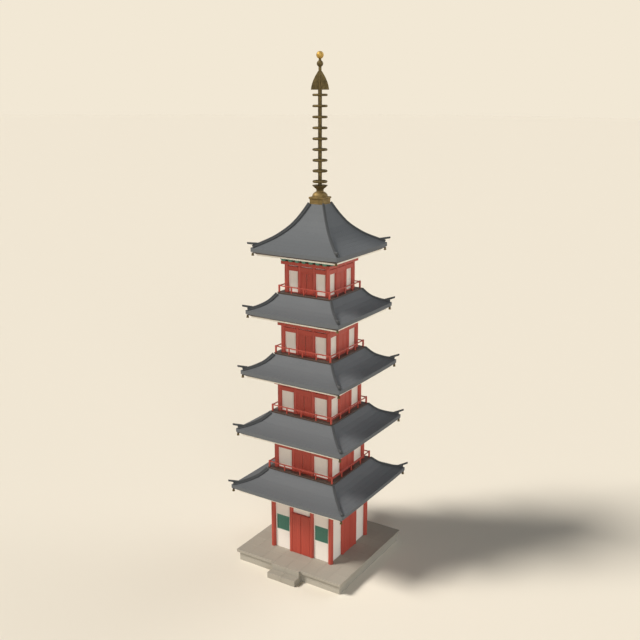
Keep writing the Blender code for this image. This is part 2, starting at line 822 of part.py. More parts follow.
def build_spire():
    lip = ROBAN_HALF + ROBAN_LIP
    base = square_steps([(ROBAN_HALF, ROBAN_LOW), (ROBAN_HALF, ROBAN_LIP_LOW), (lip, ROBAN_LIP_LOW),
                         (lip, ROBAN_HIGH - GAP)])
    plain("spire_base_box", base, "bronze")
    dome_high = DOME_HIGH - ROBAN_HIGH
    dome = []
    for degrees in DOME_TURNS:
        turn = math.radians(degrees)
        dome.append((DOME_RADIUS * math.cos(turn), ROBAN_HIGH + dome_high * math.sin(turn)))
    dome.append((LOTUS_FOOT_RADIUS, DOME_HIGH - GAP))
    plain("spire_dome", lathe(dome, ROUND_SIDES), "bronze", smooth=True)
    lotus = [(LOTUS_FOOT_RADIUS, DOME_HIGH), (LOTUS_WAIST_RADIUS, DOME_HIGH + LOTUS_WAIST_RISE),
             (LOTUS_SHOULDER_RADIUS, DOME_HIGH + LOTUS_SHOULDER_RISE), (LOTUS_RADIUS, LOTUS_HIGH - GAP)]
    plain("spire_lotus", lathe(lotus, ROUND_SIDES), "bronze", smooth=True)
    mast = [lathe([(MAST_RADIUS, LOTUS_HIGH), (MAST_RADIUS, FLAME_LOW - GAP)], MAST_SIDES)]
    for index in range(RING_COUNT):
        height = RING_FIRST + RING_PITCH * index
        mast.append(ring_shell(height))
        low_corner = (-RING_RADIUS, -SPOKE_HALF, height - SPOKE_HALF)
        mast.append(box(low_corner, (RING_RADIUS, SPOKE_HALF, height + SPOKE_HALF)))
    fused("spire_mast", mast, "bronze", smooth=True)
    build_flame()
    build_jewels()


def build_flame():
    """Four upright fins crossing on the mast."""
    outline = [(FLAME_ROOT_RADIUS, FLAME_LOW), (FLAME_RADIUS, FLAME_LOW),
               (FLAME_SHOULDER_RADIUS, FLAME_SHOULDER), (FLAME_TIP_RADIUS, FLAME_HIGH),
               (FLAME_ROOT_RADIUS, FLAME_HIGH)]
    near = [Vector((radius, -FLAME_HALF_THICK, height)) for radius, height in outline]
    far = [Vector((radius, FLAME_HALF_THICK, height)) for radius, height in outline]
    fin = tube_of_rows([near, far], closed_ends=True)
    core = lathe([(MAST_RADIUS, FLAME_LOW), (MAST_RADIUS, NECK_LOW), (NECK_RADIUS, NECK_HIGH)], MAST_SIDES)
    fins = [turned_by(fin, math.radians(45 + 90 * index)) for index in range(4)]
    fused("spire_flame", [core] + fins, "bronze", smooth=True)


def build_jewels():
    profile = [(NECK_RADIUS, NECK_HIGH + GAP)]
    jewels = ((LOWER_JEWEL_CENTRE, LOWER_JEWEL_RADIUS), (UPPER_JEWEL_CENTRE, UPPER_JEWEL_RADIUS))
    for centre, radius in jewels:
        for degrees in JEWEL_TURNS:
            turn = math.radians(degrees)
            profile.append((radius * math.cos(turn), centre + radius * math.sin(turn)))
    profile.append((0, UPPER_JEWEL_CENTRE + UPPER_JEWEL_RADIUS))
    plain("spire_jewels", lathe(profile, ROUND_SIDES), "gold", smooth=True)


remove_everything()
build_platform()
build_frames()
build_ground_walls()
build_upper_walls()
build_doors()
build_eave_boards()
build_roofs()
build_balconies()
build_spire()
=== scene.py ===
# %% [markdown]
# # A five-storied pagoda
#
# The real tower is carpentry on a platform of cut stone. Round red columns stand on it, with
# plaster or doors between them. Five storeys repeat the same parts, each a little smaller than
# the one below, and every storey carries a wide tiled roof. A bronze spire with nine rings
# crowns the top one.
#
# The plain solids of the building are loaded first and stay where they are. Everything below
# is dressed round them: a storey's sizes are read from its solids, so the dressing fits.

# %% Load the plain building
import math
import random
from types import SimpleNamespace

import bmesh
import bpy
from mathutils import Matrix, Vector


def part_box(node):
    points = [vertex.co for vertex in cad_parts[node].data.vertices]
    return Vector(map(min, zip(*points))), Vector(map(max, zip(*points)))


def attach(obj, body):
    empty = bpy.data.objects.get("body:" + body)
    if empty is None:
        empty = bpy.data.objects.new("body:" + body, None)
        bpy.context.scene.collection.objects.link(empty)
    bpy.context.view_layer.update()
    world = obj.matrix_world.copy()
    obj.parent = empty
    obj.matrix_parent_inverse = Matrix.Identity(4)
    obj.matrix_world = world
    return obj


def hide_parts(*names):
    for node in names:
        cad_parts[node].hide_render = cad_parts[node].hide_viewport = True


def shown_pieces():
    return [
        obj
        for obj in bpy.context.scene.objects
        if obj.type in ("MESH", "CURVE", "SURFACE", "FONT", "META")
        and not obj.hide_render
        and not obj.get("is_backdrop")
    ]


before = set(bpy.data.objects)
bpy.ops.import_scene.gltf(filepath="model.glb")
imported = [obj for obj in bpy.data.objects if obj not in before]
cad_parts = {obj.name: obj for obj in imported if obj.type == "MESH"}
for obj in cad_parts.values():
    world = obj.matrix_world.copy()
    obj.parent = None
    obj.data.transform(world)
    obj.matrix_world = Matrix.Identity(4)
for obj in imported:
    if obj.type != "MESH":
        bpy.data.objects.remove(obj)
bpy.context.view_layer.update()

# %% [markdown]
# ## Camera
#
# The picture looks down a little on the tower, from the right of its front. The angle of view
# and the distance were worked out together, from how fast the storeys get smaller towards the
# top. The camera isn't rolled, so the upright columns stay upright.

# %% Place the camera
VIEW_AZIMUTH = math.radians(32.29)
VIEW_PITCH = math.radians(15.384)
VIEW_ANGLE = math.radians(41.115)
VIEW_DISTANCE = 57.04
VIEW_HEIGHT = 33.54


def link_object(name, data):
    """A new object in the scene with that data: a mesh, a lamp or a camera."""
    thing = bpy.data.objects.new(name, data)
    bpy.context.scene.collection.objects.link(thing)
    return thing


camera = link_object("camera", bpy.data.cameras.new("camera"))
camera.data.angle = VIEW_ANGLE
camera.location = (VIEW_DISTANCE * math.sin(VIEW_AZIMUTH), -VIEW_DISTANCE * math.cos(VIEW_AZIMUTH),
                   VIEW_HEIGHT)
camera.rotation_euler = (math.pi / 2 - VIEW_PITCH, 0, VIEW_AZIMUTH)
bpy.context.scene.camera = camera
print("camera at", [round(v, 2) for v in camera.location])

# %% [markdown]
# ## Studio light
#
# A model on a seamless paper sweep has one large soft lamp on its left, a weaker and wider one
# low behind its right, and a reflector low in front that reaches the walls under the eaves. Sun
# lamps with a wide angle stand for them, the first slightly warm and the others slightly cool.
# The second gives the faint wide shadow in front of the tower. The world gives the rest: the
# camera sees it in the colour of the paper and shiny finishes reflect it dimmer, but the light
# that it sheds is much weaker, so that the shadow stays deep.

# %% Light the stage
PAPER = (0.888, 0.807, 0.665)
SKY_LIGHT = (0.035, 0.035, 0.035)
REFLECTED_LIGHT = (0.45, 0.45, 0.45)
WARM = (1.0, 0.980, 0.960)
COOL = (0.950, 1.0, 1.060)
# For each lamp: the direction of its light, its strength, its spread in degrees and its colour.
LAMPS = {
    "soft_sun": ((0.53, 0.47, -0.72), 3.80, 18, WARM),
    "low_lamp": ((-0.52, -0.79, -0.29), 1.50, 62, COOL),
    "reflector": ((-0.67, 0.74, -0.06), 1.85, 36, COOL),
}


def place(tree, kind, links=None, **settings):
    """Adds a node. links gives an input, by name or number, a value, an output, or a node for its first."""
    made = tree.nodes.new(kind)
    for name, value in settings.items():
        setattr(made, name, value)
    for name, value in (links or {}).items():
        if isinstance(value, bpy.types.Node):
            value = value.outputs[0]
        if isinstance(value, bpy.types.NodeSocket):
            tree.links.new(value, made.inputs[name])
        else:
            made.inputs[name].default_value = value
    return made


def mix_colours(tree, factor, first, second):
    """Mixes two colours, each a triple or an output. Inputs 6 and 7 and output 2 are those for colours."""
    first, second = [(*part, 1.0) if isinstance(part, tuple) else part for part in (first, second)]
    mixed = place(tree, "ShaderNodeMix", {"Factor": factor, 6: first, 7: second}, data_type="RGBA")
    return mixed.outputs[2]


def add_sun(name, direction, strength, spread, colour):
    lamp = bpy.data.lights.new(name, "SUN")
    lamp.energy = strength
    lamp.angle = math.radians(spread)
    lamp.color = colour
    link_object(name, lamp).rotation_euler = Vector(direction).to_track_quat("-Z", "Y").to_euler()


def light_world():
    world = bpy.data.worlds.new("studio")
    bpy.context.scene.world = world
    world.use_nodes = True
    tree = world.node_tree
    tree.nodes.clear()
    rays = place(tree, "ShaderNodeLightPath").outputs
    shed = mix_colours(tree, rays["Is Glossy Ray"], SKY_LIGHT, REFLECTED_LIGHT)
    seen = mix_colours(tree, rays["Is Camera Ray"], shed, PAPER)
    place(tree, "ShaderNodeOutputWorld", {"Surface": place(tree, "ShaderNodeBackground", {"Color": seen})})


light_world()
for name, lamp in LAMPS.items():
    add_sun(name, *lamp)
bpy.context.scene.view_settings.view_transform = "Standard"

# %% [markdown]
# ## Node groups that several finishes share
#
# Paint, plaster, tile and stone vary a little from place to place, and timber shows its grain
# through paint. Those effects are node groups, and each finish sets how strong and large they are.


# %% Make the shared node groups
def new_group(name, inputs, outputs, kind="ShaderNodeTree"):
    tree = bpy.data.node_groups.new(name, kind)
    for label, socket, value in inputs:
        made = tree.interface.new_socket(name=label, in_out="INPUT", socket_type="NodeSocket" + socket)
        if value is not None:
            made.default_value = value
    for label, socket in outputs:
        tree.interface.new_socket(name=label, in_out="OUTPUT", socket_type="NodeSocket" + socket)
    return tree, tree.nodes.new("NodeGroupInput").outputs, tree.nodes.new("NodeGroupOutput").inputs


def maths(tree, operation, *values):
    return place(tree, "ShaderNodeMath", dict(enumerate(values)), operation=operation)


def noise(tree, vector, scale, detail, **more):
    return place(tree, "ShaderNodeTexNoise", {"Vector": vector, "Scale": scale, "Detail": detail, **more})


def brightened(tree, colour, factor):
    scaled = place(tree, "ShaderNodeVectorMath", {0: colour, "Scale": factor}, operation="SCALE")
    return scaled.outputs[0]


def make_uneven():
    """Uneven: a colour made lighter and darker in soft patches, with a finer pattern inside them."""
    finer, fine_share = 11.0, 0.35
    tree, given, result = new_group(
        "uneven",
        [("Color", "Color", (1, 1, 1, 1)), ("Vector", "Vector", None), ("Scale", "Float", 1.0),
         ("Contrast", "Float", 0.1), ("Tone", "Float", 0.5)],
        [("Color", "Color"), ("Patches", "Float")])
    broad = noise(tree, given["Vector"], given["Scale"], 3.0)
    fine = noise(tree, given["Vector"], maths(tree, "MULTIPLY", given["Scale"], finer), 4.0)
    both = place(tree, "ShaderNodeMix", {"Factor": fine_share, 2: broad, 3: fine})
    shifted = maths(tree, "MULTIPLY_ADD", given["Tone"], 0.5, both)
    centred = maths(tree, "SUBTRACT", shifted, 0.75)
    factor = maths(tree, "MULTIPLY_ADD", centred, given["Contrast"], 1.0)
    tree.links.new(brightened(tree, given["Color"], factor), result["Color"])
    tree.links.new(both.outputs[0], result["Patches"])
    return tree


def make_grain():
    """Grain: long fine lines along the first axis of the vector, as sawn timber has."""
    stretch = (0.05, 1.0, 1.0)
    tree, given, result = new_group(
        "grain", [("Vector", "Vector", None), ("Fineness", "Float", 60.0)], [("Lines", "Float")])
    stretched = place(tree, "ShaderNodeVectorMath", {0: given["Vector"], 1: stretch}, operation="MULTIPLY")
    lines = noise(tree, stretched, given["Fineness"], 5.0, Roughness=0.6, Distortion=0.3)
    tree.links.new(lines.outputs[0], result["Lines"])
    return tree


UNEVEN = make_uneven()
GRAIN = make_grain()
print("shared node groups:", UNEVEN.name, GRAIN.name)

# %% [markdown]
# ## Finishes
#
# Painted timber reads the piece's own map, called grain, whose first direction runs along each
# timber, so the lines turn with it. Plaster, tile, stone and metal have no direction, so they
# read the place in the room. Each timber, tile or stone also carries a tone, a number of its own
# that makes it a touch lighter or darker than its neighbour.


# %% Painted timber
def new_finish(name, metallic=0.0):
    made = bpy.data.materials.new(name)
    made.use_nodes = True
    sockets = made.node_tree.nodes["Principled BSDF"].inputs
    sockets["Metallic"].default_value = metallic
    return made, made.node_tree, sockets


def map_range(tree, value, given, wanted=(0.0, 1.0)):
    return place(tree, "ShaderNodeMapRange", {"Value": value, "From Min": given[0], "From Max": given[1],
                                              "To Min": wanted[0], "To Max": wanted[1]})


def use_uneven(tree, colour, vector, scale, contrast):
    """The outputs of the uneven group, which takes the tone of each timber, tile or stone."""
    tone = place(tree, "ShaderNodeAttribute", attribute_name="tone").outputs["Fac"]
    links = {"Color": colour, "Vector": vector, "Scale": scale, "Contrast": contrast, "Tone": tone}
    return place(tree, "ShaderNodeGroup", links, node_tree=UNEVEN).outputs


def set_surface(tree, sockets, mask, rough, height, strength, distance):
    """Roughness between two values as the mask says, and a bump of that height."""
    bump = place(tree, "ShaderNodeBump", {"Height": height, "Strength": strength, "Distance": distance})
    tree.links.new(map_range(tree, mask, (0.3, 0.7), rough).outputs[0], sockets["Roughness"])
    tree.links.new(bump.outputs[0], sockets["Normal"])


def painted_timber(name, colour, deeper, fineness=60.0, contrast=0.16):
    """Paint over timber: the grain shows a little, in the paint's colour and in its surface."""
    made, tree, sockets = new_finish(name)
    along = place(tree, "ShaderNodeUVMap", uv_map="grain")
    lines = place(tree, "ShaderNodeGroup", {"Vector": along, "Fineness": fineness}, node_tree=GRAIN)
    mixed = mix_colours(tree, lines, deeper, colour)
    tree.links.new(use_uneven(tree, mixed, along, 0.9, contrast)["Color"], sockets["Base Color"])
    set_surface(tree, sockets, lines, (0.42, 0.62), lines, 0.25, 0.004)
    return made


vermilion = painted_timber("vermilion_paint", (0.440, 0.066, 0.038), (0.380, 0.048, 0.028))
green = painted_timber("green_paint", (0.082, 0.225, 0.155), (0.070, 0.190, 0.130))
cream = painted_timber("cream_paint", (0.840, 0.780, 0.660), (0.790, 0.725, 0.605), contrast=0.08)
brown = painted_timber("dark_timber", (0.082, 0.046, 0.030), (0.048, 0.028, 0.020), 45.0, 0.4)


# %% Plaster, stone and fired tile
def mineral(name, colour, scale, contrast, grit, rough, bump):
    """Plaster, stone or fired clay: soft patches, a fine grit in colour and surface, no direction."""
    made, tree, sockets = new_finish(name)
    sockets["Specular IOR Level"].default_value = 0.3
    spot = place(tree, "ShaderNodeTexCoord").outputs["Object"]
    uneven = use_uneven(tree, (*colour, 1), spot, scale, contrast)
    specks = noise(tree, spot, grit, 6.0, Roughness=0.7)
    factor = map_range(tree, specks, (0.35, 0.65), (1 - contrast / 2, 1 + contrast / 2))
    tree.links.new(brightened(tree, uneven["Color"], factor), sockets["Base Color"])
    set_surface(tree, sockets, uneven["Patches"], rough, specks, *bump)
    return made


plaster = mineral("lime_plaster", (0.795, 0.720, 0.622), 0.7, 0.08, 35.0, (0.78, 0.92), (0.15, 0.004))
stone = mineral("dressed_stone", (0.335, 0.300, 0.240), 1.1, 0.12, 70.0, (0.75, 0.90), (0.25, 0.004))
pale_stone = mineral("pale_stone", (0.375, 0.340, 0.275), 1.1, 0.10, 70.0, (0.75, 0.90), (0.25, 0.004))
tile = mineral("fired_tile", (0.112, 0.117, 0.119), 0.8, 0.10, 30.0, (0.66, 0.80), (0.15, 0.003))
# The ridge tile is darker than the roof tile: painted shade for the shaded sides of the ridges. The horns
# share it.
ridge_tile_painted_shade = mineral("ridge_tile_painted_shade", (0.072, 0.074, 0.074), 1.4, 0.16, 30.0, (0.66, 0.80), (0.20, 0.003))


# %% Bronze and gilding
def worn_metal(name, bright, dull, rough, scale):
    """Cast metal: the dull skin of age lies in patches over the brighter metal."""
    made, tree, sockets = new_finish(name, metallic=0.85)
    spot = place(tree, "ShaderNodeTexCoord").outputs["Object"]
    patches = noise(tree, spot, scale, 6.0, Roughness=0.6)
    mixed = mix_colours(tree, map_range(tree, patches, (0.38, 0.62)), bright, dull)
    tree.links.new(mixed, sockets["Base Color"])
    set_surface(tree, sockets, patches, rough, patches, 0.15, 0.006)
    return made


bronze = worn_metal("aged_bronze", (0.245, 0.166, 0.062), (0.180, 0.124, 0.048), (0.56, 0.72), 3.0)
dark_bronze = worn_metal("dark_bronze", (0.150, 0.106, 0.040), (0.098, 0.071, 0.028), (0.56, 0.70), 3.0)
gilding = worn_metal("gilding", (0.480, 0.305, 0.078), (0.430, 0.265, 0.064), (0.50, 0.62), 5.0)

# %% [markdown]
# ## Shapes one by one
#
# A timber frame is squared and turned pieces, so two small builders make most of it: a box for a
# beam, board or stone, and a turned solid for a column. A shape here is only lists of points and
# faces. When it becomes a mesh, its faces get the grain map and its sharp edges a small bevel,
# which catches the light as a sawn or cut edge does.

# %% Builders for boxes, turned solids and skins
HAIR = 0.001  # a gap too thin to see, so that no two faces lie in the same plane
chance = random.Random(11)


def new_shape():
    return {"points": [], "faces": [], "along": [], "tone": []}


def add_shape(shape, other):
    """Adds all the shells of another shape."""
    start = len(shape["points"])
    for key in ("points", "along", "tone"):
        shape[key] += other[key]
    shape["faces"] += [[start + corner for corner in face] for face in other["faces"]]
    return shape


def add_shell(shape, points, faces, along=2):
    """Adds one closed shell whose grain runs along X, Y or Z (0, 1 or 2), with a tone of its own."""
    return add_shape(shape, {"points": points, "faces": faces, "along": [along] * len(faces),
                             "tone": [chance.random()] * len(points)})


def add_box(shape, low, high):
    ends = list(zip(low, high))
    points = [Vector((x, y, z)) for z in ends[2] for y in ends[1] for x in ends[0]]
    faces = [(0, 2, 3, 1), (4, 5, 7, 6), (0, 1, 5, 4), (1, 3, 7, 5), (3, 2, 6, 7), (2, 0, 4, 6)]
    sizes = [far - near for near, far in ends]
    return add_shell(shape, points, faces, along=sizes.index(max(sizes)))


def add_slab(shape, half, low, high):
    """A box that is square in plan, on the tower's axis."""
    return add_box(shape, (-half, -half, low), (half, half, high))


def add_skin(shape, rows, capped=True, along=2):
    """A skin over rows of points. Each row is a closed loop. Both ends are capped, or the last row
    joins the first."""
    count = len(rows[0])
    points = [point for row in rows for point in row]
    faces = []
    for index in range(len(rows) - 1 if capped else len(rows)):
        near = index * count
        far = (index + 1) % len(rows) * count
        for step in range(count):
            after = (step + 1) % count
            faces.append((near + step, near + after, far + after, far + step))
    if capped:
        faces.append(tuple(reversed(range(count))))
        faces.append(tuple(range(len(points) - count, len(points))))
    return add_shell(shape, points, faces, along)


def add_turned(shape, profile, sides, centre=(0.0, 0.0)):
    """A turned solid. The profile is pairs of radius and height from the bottom up."""
    turns = [2 * math.pi * step / sides for step in range(sides)]
    x, y = centre
    return add_skin(shape, [[Vector((x + radius * math.cos(turn), y + radius * math.sin(turn), height))
                             for turn in turns] for radius, height in profile])


def turned_point(point, quarter):
    for _ in range(quarter):
        point = Vector((-point.y, point.x, point.z))
    return point


def add_mitred_ring(shape, outer, inner, low, high):
    """Four boards round a square, cut at 45 degrees where they meet."""
    corners = ((outer, -1), (outer, 1), (inner, 1), (inner, -1))
    faces = [(0, 1, 2, 3), (7, 6, 5, 4), (0, 4, 5, 1), (1, 5, 6, 2), (2, 6, 7, 3), (3, 7, 4, 0)]
    for quarter in range(4):
        points = [turned_point(Vector((side * (half - HAIR), -half, z)), quarter)
                  for z in (low, high) for half, side in corners]
        add_shell(shape, points, faces, along=quarter % 2)


def turned_shape(shape, quarter, tone_shift=0.0):
    """The shape after some quarter turns about the tower's axis."""
    return {
        "points": [turned_point(point, quarter) for point in shape["points"]],
        "faces": shape["faces"],
        "along": [1 - along if quarter % 2 and along < 2 else along for along in shape["along"]],
        "tone": [(tone + tone_shift) % 1 for tone in shape["tone"]],
    }


def four_sided(front):
    """The front's pieces and their copies on the other three sides."""
    whole = new_shape()
    for quarter in range(4):
        add_shape(whole, turned_shape(front, quarter, 0.37 * quarter))
    return whole


# %% Turn a shape into a finished mesh
BEVEL_FROM = 40  # degrees between two faces
SHARP_FROM = 32
made_pieces = []


def settled(thing):
    """The plain mesh that an object's modifiers make. The object itself is removed."""
    bpy.context.view_layer.update()
    mesh = bpy.data.meshes.new_from_object(thing.evaluated_get(bpy.context.evaluated_depsgraph_get()))
    bpy.data.objects.remove(thing)
    return mesh


def point_outwards(mesh):
    work = bmesh.new()
    work.from_mesh(mesh)
    bmesh.ops.recalc_face_normals(work, faces=work.faces[:])
    work.to_mesh(mesh)
    work.free()


def map_grain(mesh, shape):
    """The grain map: first along the timber, then across it, shifted so that no two are alike."""
    layer = mesh.uv_layers.new(name="grain")
    for polygon in mesh.polygons:
        along = shape["along"][polygon.index]
        for loop in polygon.loop_indices:
            corner = mesh.loops[loop].vertex_index
            point = mesh.vertices[corner].co
            shift = 9 * shape["tone"][corner]
            layer.data[loop].uv = (point[along] + shift, sum(point) - point[along] + shift)


def mesh_from(shape, bevel=0.0, toned=True):
    mesh = bpy.data.meshes.new("shape")
    mesh.from_pydata([tuple(point) for point in shape["points"]], [], shape["faces"])
    point_outwards(mesh)
    map_grain(mesh, shape)
    if toned:
        mesh.attributes.new("tone", "FLOAT", "POINT").data.foreach_set("value", shape["tone"])
    if bevel:
        thing = link_object("to_bevel", mesh)
        modifier = thing.modifiers.new("bevel", "BEVEL")
        modifier.width = bevel
        modifier.segments = 1
        modifier.limit_method = "ANGLE"
        modifier.angle_limit = math.radians(BEVEL_FROM)
        mesh = settled(thing)
    return mesh


def finish_piece(name, made, material, replaced=(), bevel=0.0, body="tower", sharp=SHARP_FROM):
    """A shape or mesh as a piece of the building: finished, carried by its body, in place of the solids
    named. Edges with more than the sharp angle, in degrees, are shaded sharp."""
    mesh = mesh_from(made, bevel) if isinstance(made, dict) else made
    mesh.name = name
    mesh.materials.clear()
    mesh.materials.append(material)
    mesh.shade_smooth()
    mesh.set_sharp_from_angle(angle=math.radians(sharp))
    thing = link_object(name, mesh)
    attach(thing, body)
    if replaced:
        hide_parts(*replaced)
    made_pieces.append(thing)


# %% [markdown]
# ## Shapes by rule
#
# Rafters, tiles, bracket blocks, planks and paving stones repeat at an even spacing, the same
# on all four sides. Geometry Nodes make them: one seed piece is placed where the first one
# stands at the front, and a tree sets its copies along a line, in rows, and round the tower.
# Each copy gets its own tone from a random number with a fixed seed. The result is realized into
# one plain mesh, because instances would be lost when the model is exported.


# %% A tree that repeats a piece in rows and round the tower
def new_geometry_tree(name, *inputs):
    """A tree that takes a mesh, a material and the inputs given, and makes a mesh."""
    return new_group(name, [("Geometry", "Geometry", None), *inputs, ("Material", "Material", None)],
                     [("Geometry", "Geometry")], "GeometryNodeTree")


def copies_on(tree, points, copied, **more):
    return place(tree, "GeometryNodeInstanceOnPoints", {"Points": points, "Instance": copied, **more})


def turned_copies(tree, points, copied, angle):
    """A copy on each point, turned by the angle about the tower's axis."""
    turn = place(tree, "FunctionNodeAxisAngleToRotation", {"Axis": (0, 0, 1), "Angle": angle})
    return copies_on(tree, points, copied, Rotation=turn)


def quarter_turns(tree, number):
    return maths(tree, "MULTIPLY", number, math.pi / 2)


def on_all_sides(tree, given, copied):
    sides = place(tree, "GeometryNodePoints", {"Count": given["Sides"]})
    return turned_copies(tree, sides, copied, quarter_turns(tree, place(tree, "GeometryNodeInputIndex")))


def marked(tree, instances, name, value, kind):
    """The instances, each with a value of its own."""
    links = {"Geometry": instances, "Name": name, "Value": value}
    return place(tree, "GeometryNodeStoreNamedAttribute", links, data_type=kind, domain="INSTANCE")


def with_tones(tree, instances, given):
    number = place(tree, "FunctionNodeRandomValue", {8: given["Seed"]}, data_type="FLOAT").outputs[1]
    return marked(tree, instances, "tone", number, "FLOAT")


def finish_tree(tree, instances, given, result):
    realized = place(tree, "GeometryNodeRealizeInstances", {0: instances})
    painted = place(tree, "GeometryNodeSetMaterial", {"Geometry": realized, "Material": given["Material"]})
    tree.links.new(painted.outputs[0], result["Geometry"])
    return tree


def make_repeat_tree():
    tree, given, result = new_geometry_tree(
        "repeat_round_the_tower", ("Count", "Int", 1), ("Step", "Vector", None), ("Rows", "Int", 1),
        ("Row Step", "Vector", None), ("Sides", "Int", 4), ("Seed", "Int", 1))
    row = place(tree, "GeometryNodeMeshLine", {"Count": given["Count"], "Offset": given["Step"]})
    rows = place(tree, "GeometryNodeMeshLine", {"Count": given["Rows"], "Offset": given["Row Step"]})
    grid = copies_on(tree, rows, row)
    grids = on_all_sides(tree, given, place(tree, "GeometryNodeRealizeInstances", {0: grid}))
    numbered = marked(tree, grids, "side", place(tree, "GeometryNodeInputIndex"), "INT")
    places = place(tree, "GeometryNodeRealizeInstances", {0: numbered})
    side = place(tree, "GeometryNodeInputNamedAttribute", {"Name": "side"}, data_type="INT")
    copies = turned_copies(tree, places, given["Geometry"], quarter_turns(tree, side))
    return finish_tree(tree, with_tones(tree, copies, given), given, result)


def grown(tree, seed_mesh, values):
    """The plain mesh that a tree grows from a seed mesh. Inputs are set by their identifiers."""
    thing = link_object("seed", seed_mesh)
    modifier = thing.modifiers.new(tree.name, "NODES")
    modifier.node_group = tree
    for item in tree.interface.items_tree:
        if item.item_type == "SOCKET" and item.in_out == "INPUT" and item.name in values:
            modifier[item.identifier] = values[item.name]
    return settled(thing)


REPEAT = make_repeat_tree()


def repeat_piece(name, shape, material, count, pitch, bevel, replaced=(), rows=1, row_step=(0, 0, 0),
                 sides=4, seed=1):
    """Finishes a piece that is copies of one shape, set at the pitch along X and then in rows."""
    values = {"Count": count, "Step": (pitch, 0, 0), "Rows": rows, "Row Step": row_step, "Sides": sides,
              "Seed": seed, "Material": material}
    finish_piece(name, grown(REPEAT, mesh_from(shape, bevel, toned=False), values), material, replaced)


# %% [markdown]
# ## What each storey measures
#
# The sizes of a storey come from its plain solids: the underside of its roof, the top of its
# floor, the outer face of its plaster. The sizes of the timbers, which are hidden inside fused
# solids, are given here as the carpenter would give them, as depths below the roof.

# %% Read the storeys from the plain solids
STOREYS = 5
WALL_SETBACK = 0.04
POST_RATIO = 0.355
COLUMN_RADII = (0.175, 0.158)
ROOF_HALF = 4.58
ROOF_STEP_IN = 0.307
BASE_LIP = 0.047


def solid_half(node):
    """Half the width of a square solid that is centred on the tower's axis."""
    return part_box(node)[1].x


def measure_storey(number):
    ground, top = number == 1, number == STOREYS
    floor = "platform_coping" if ground else f"balcony_{number}_floor"
    above = "spire_base_box" if top else f"balcony_{number + 1}_floor"
    half = solid_half("ground_wall_band" if ground else f"storey_{number}_walls") + WALL_SETBACK
    return SimpleNamespace(
        number=number, half=half, post=POST_RATIO * half,
        frame="ground_frame" if ground else f"storey_{number}_frame",
        column_radius=COLUMN_RADII[0 if ground else 1],
        floor=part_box(floor)[1].z, ledge=None if ground else solid_half(floor),
        eave=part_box(f"roof_{number}")[0].z, roof_half=ROOF_HALF - ROOF_STEP_IN * (number - 1),
        seat_half=solid_half(above) - (BASE_LIP if top else 0.0), seat_height=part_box(above)[0].z)


storeys = [measure_storey(number) for number in range(1, STOREYS + 1)]
for storey in storeys:
    print("storey", storey.number, "floor", round(storey.floor, 2), "eave", round(storey.eave, 2),
          "half", round(storey.half, 3))

# %% [markdown]
# ## Platform
#
# The platform is earth faced with cut stone, under a paving of slabs whose edge stands out as a
# coping. The joints are a few millimetres wide and filled to just under the surface, so from far
# off the platform looks like one block. The seeds are one facing stone and one slab. A plain
# core stands for the filling behind and between the stones.

# %% Build the platform of cut stones
STONE_JOINT = 0.004
FACING_DEEP = 0.35
SIDE_STONES = 8
CORE_INSET = 0.007
UPPER_STEP_FRONT = 4.60


def build_platform():
    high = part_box("platform_base")[1]
    half, course = high.x, high.z / 2
    pitch = (2 * half - FACING_DEEP) / SIDE_STONES
    facing = add_box(new_shape(), (-half, -half, 0),
                     (-half + pitch - STONE_JOINT, -half + FACING_DEEP, course - STONE_JOINT))
    repeat_piece("platform_facing_stones", facing, pale_stone, SIDE_STONES, pitch, 0.006, ["platform_base"],
                 rows=2, row_step=(0, 0, course))
    core = add_slab(new_shape(), half - CORE_INSET, 0.0, high.z)
    finish_piece("platform_core", core, pale_stone, bevel=0.01)


def build_paving():
    low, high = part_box("platform_coping")
    half = high.x
    pitch = 2 * half / SIDE_STONES
    edge = -half + pitch - STONE_JOINT
    slab = add_box(new_shape(), (-half, -half, low.z), (edge, edge, high.z))
    repeat_piece("platform_paving", slab, stone, SIDE_STONES, pitch, 0.008, ["platform_coping"],
                 rows=SIDE_STONES, row_step=(0, pitch, 0), sides=1, seed=3)
    bed = add_slab(new_shape(), half - CORE_INSET - STONE_JOINT, low.z + CORE_INSET, high.z - CORE_INSET)
    finish_piece("platform_paving_joints", bed, stone)


def build_steps():
    """Two steps, the upper one level with the paving. Each is two stones side by side."""
    low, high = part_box("front_steps")
    coping_low, coping_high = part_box("platform_coping")
    top, back, foot = coping_high.z, coping_low.y - HAIR, coping_low.z - HAIR
    section = [(-UPPER_STEP_FRONT, top / 2), (-UPPER_STEP_FRONT, top - HAIR), (back, top - HAIR),
               (back, foot), (high.y, foot), (high.y, top / 2)]
    steps = new_shape()
    for side in (-1, 1):
        ends = sorted((side * high.x, side * STONE_JOINT / 2))
        add_box(steps, (ends[0], low.y, 0.0), (ends[1], high.y, top / 2 - HAIR))
        add_skin(steps, [[Vector((x, y, z)) for y, z in section] for x in ends], along=0)
    finish_piece("front_step_stones", steps, stone, ["front_steps"], 0.010)


build_platform()
build_paving()
build_steps()
print("platform pieces:", len(made_pieces))

# %% [markdown]
# ## Columns, beams and brackets
#
# Each side of a storey has three bays: two corner columns and, between them, two posts that
# hold the doors. A head beam ties them above the doors, and a wide flat beam lies on their tops.
# Seven green blocks a side stand on that beam and carry the purlin under the rafters, the outer
# two over the corner columns. Red boards close the space between them.

# %% Build the timber frame of each storey
# Depths below the eave of the underside and the top of each member.
HEAD_BEAM = (1.27, 0.97)
FLAT_BEAM = (0.85, 0.62)
BLOCKS = (0.62, 0.36)
PURLIN = (0.36, 0.222)
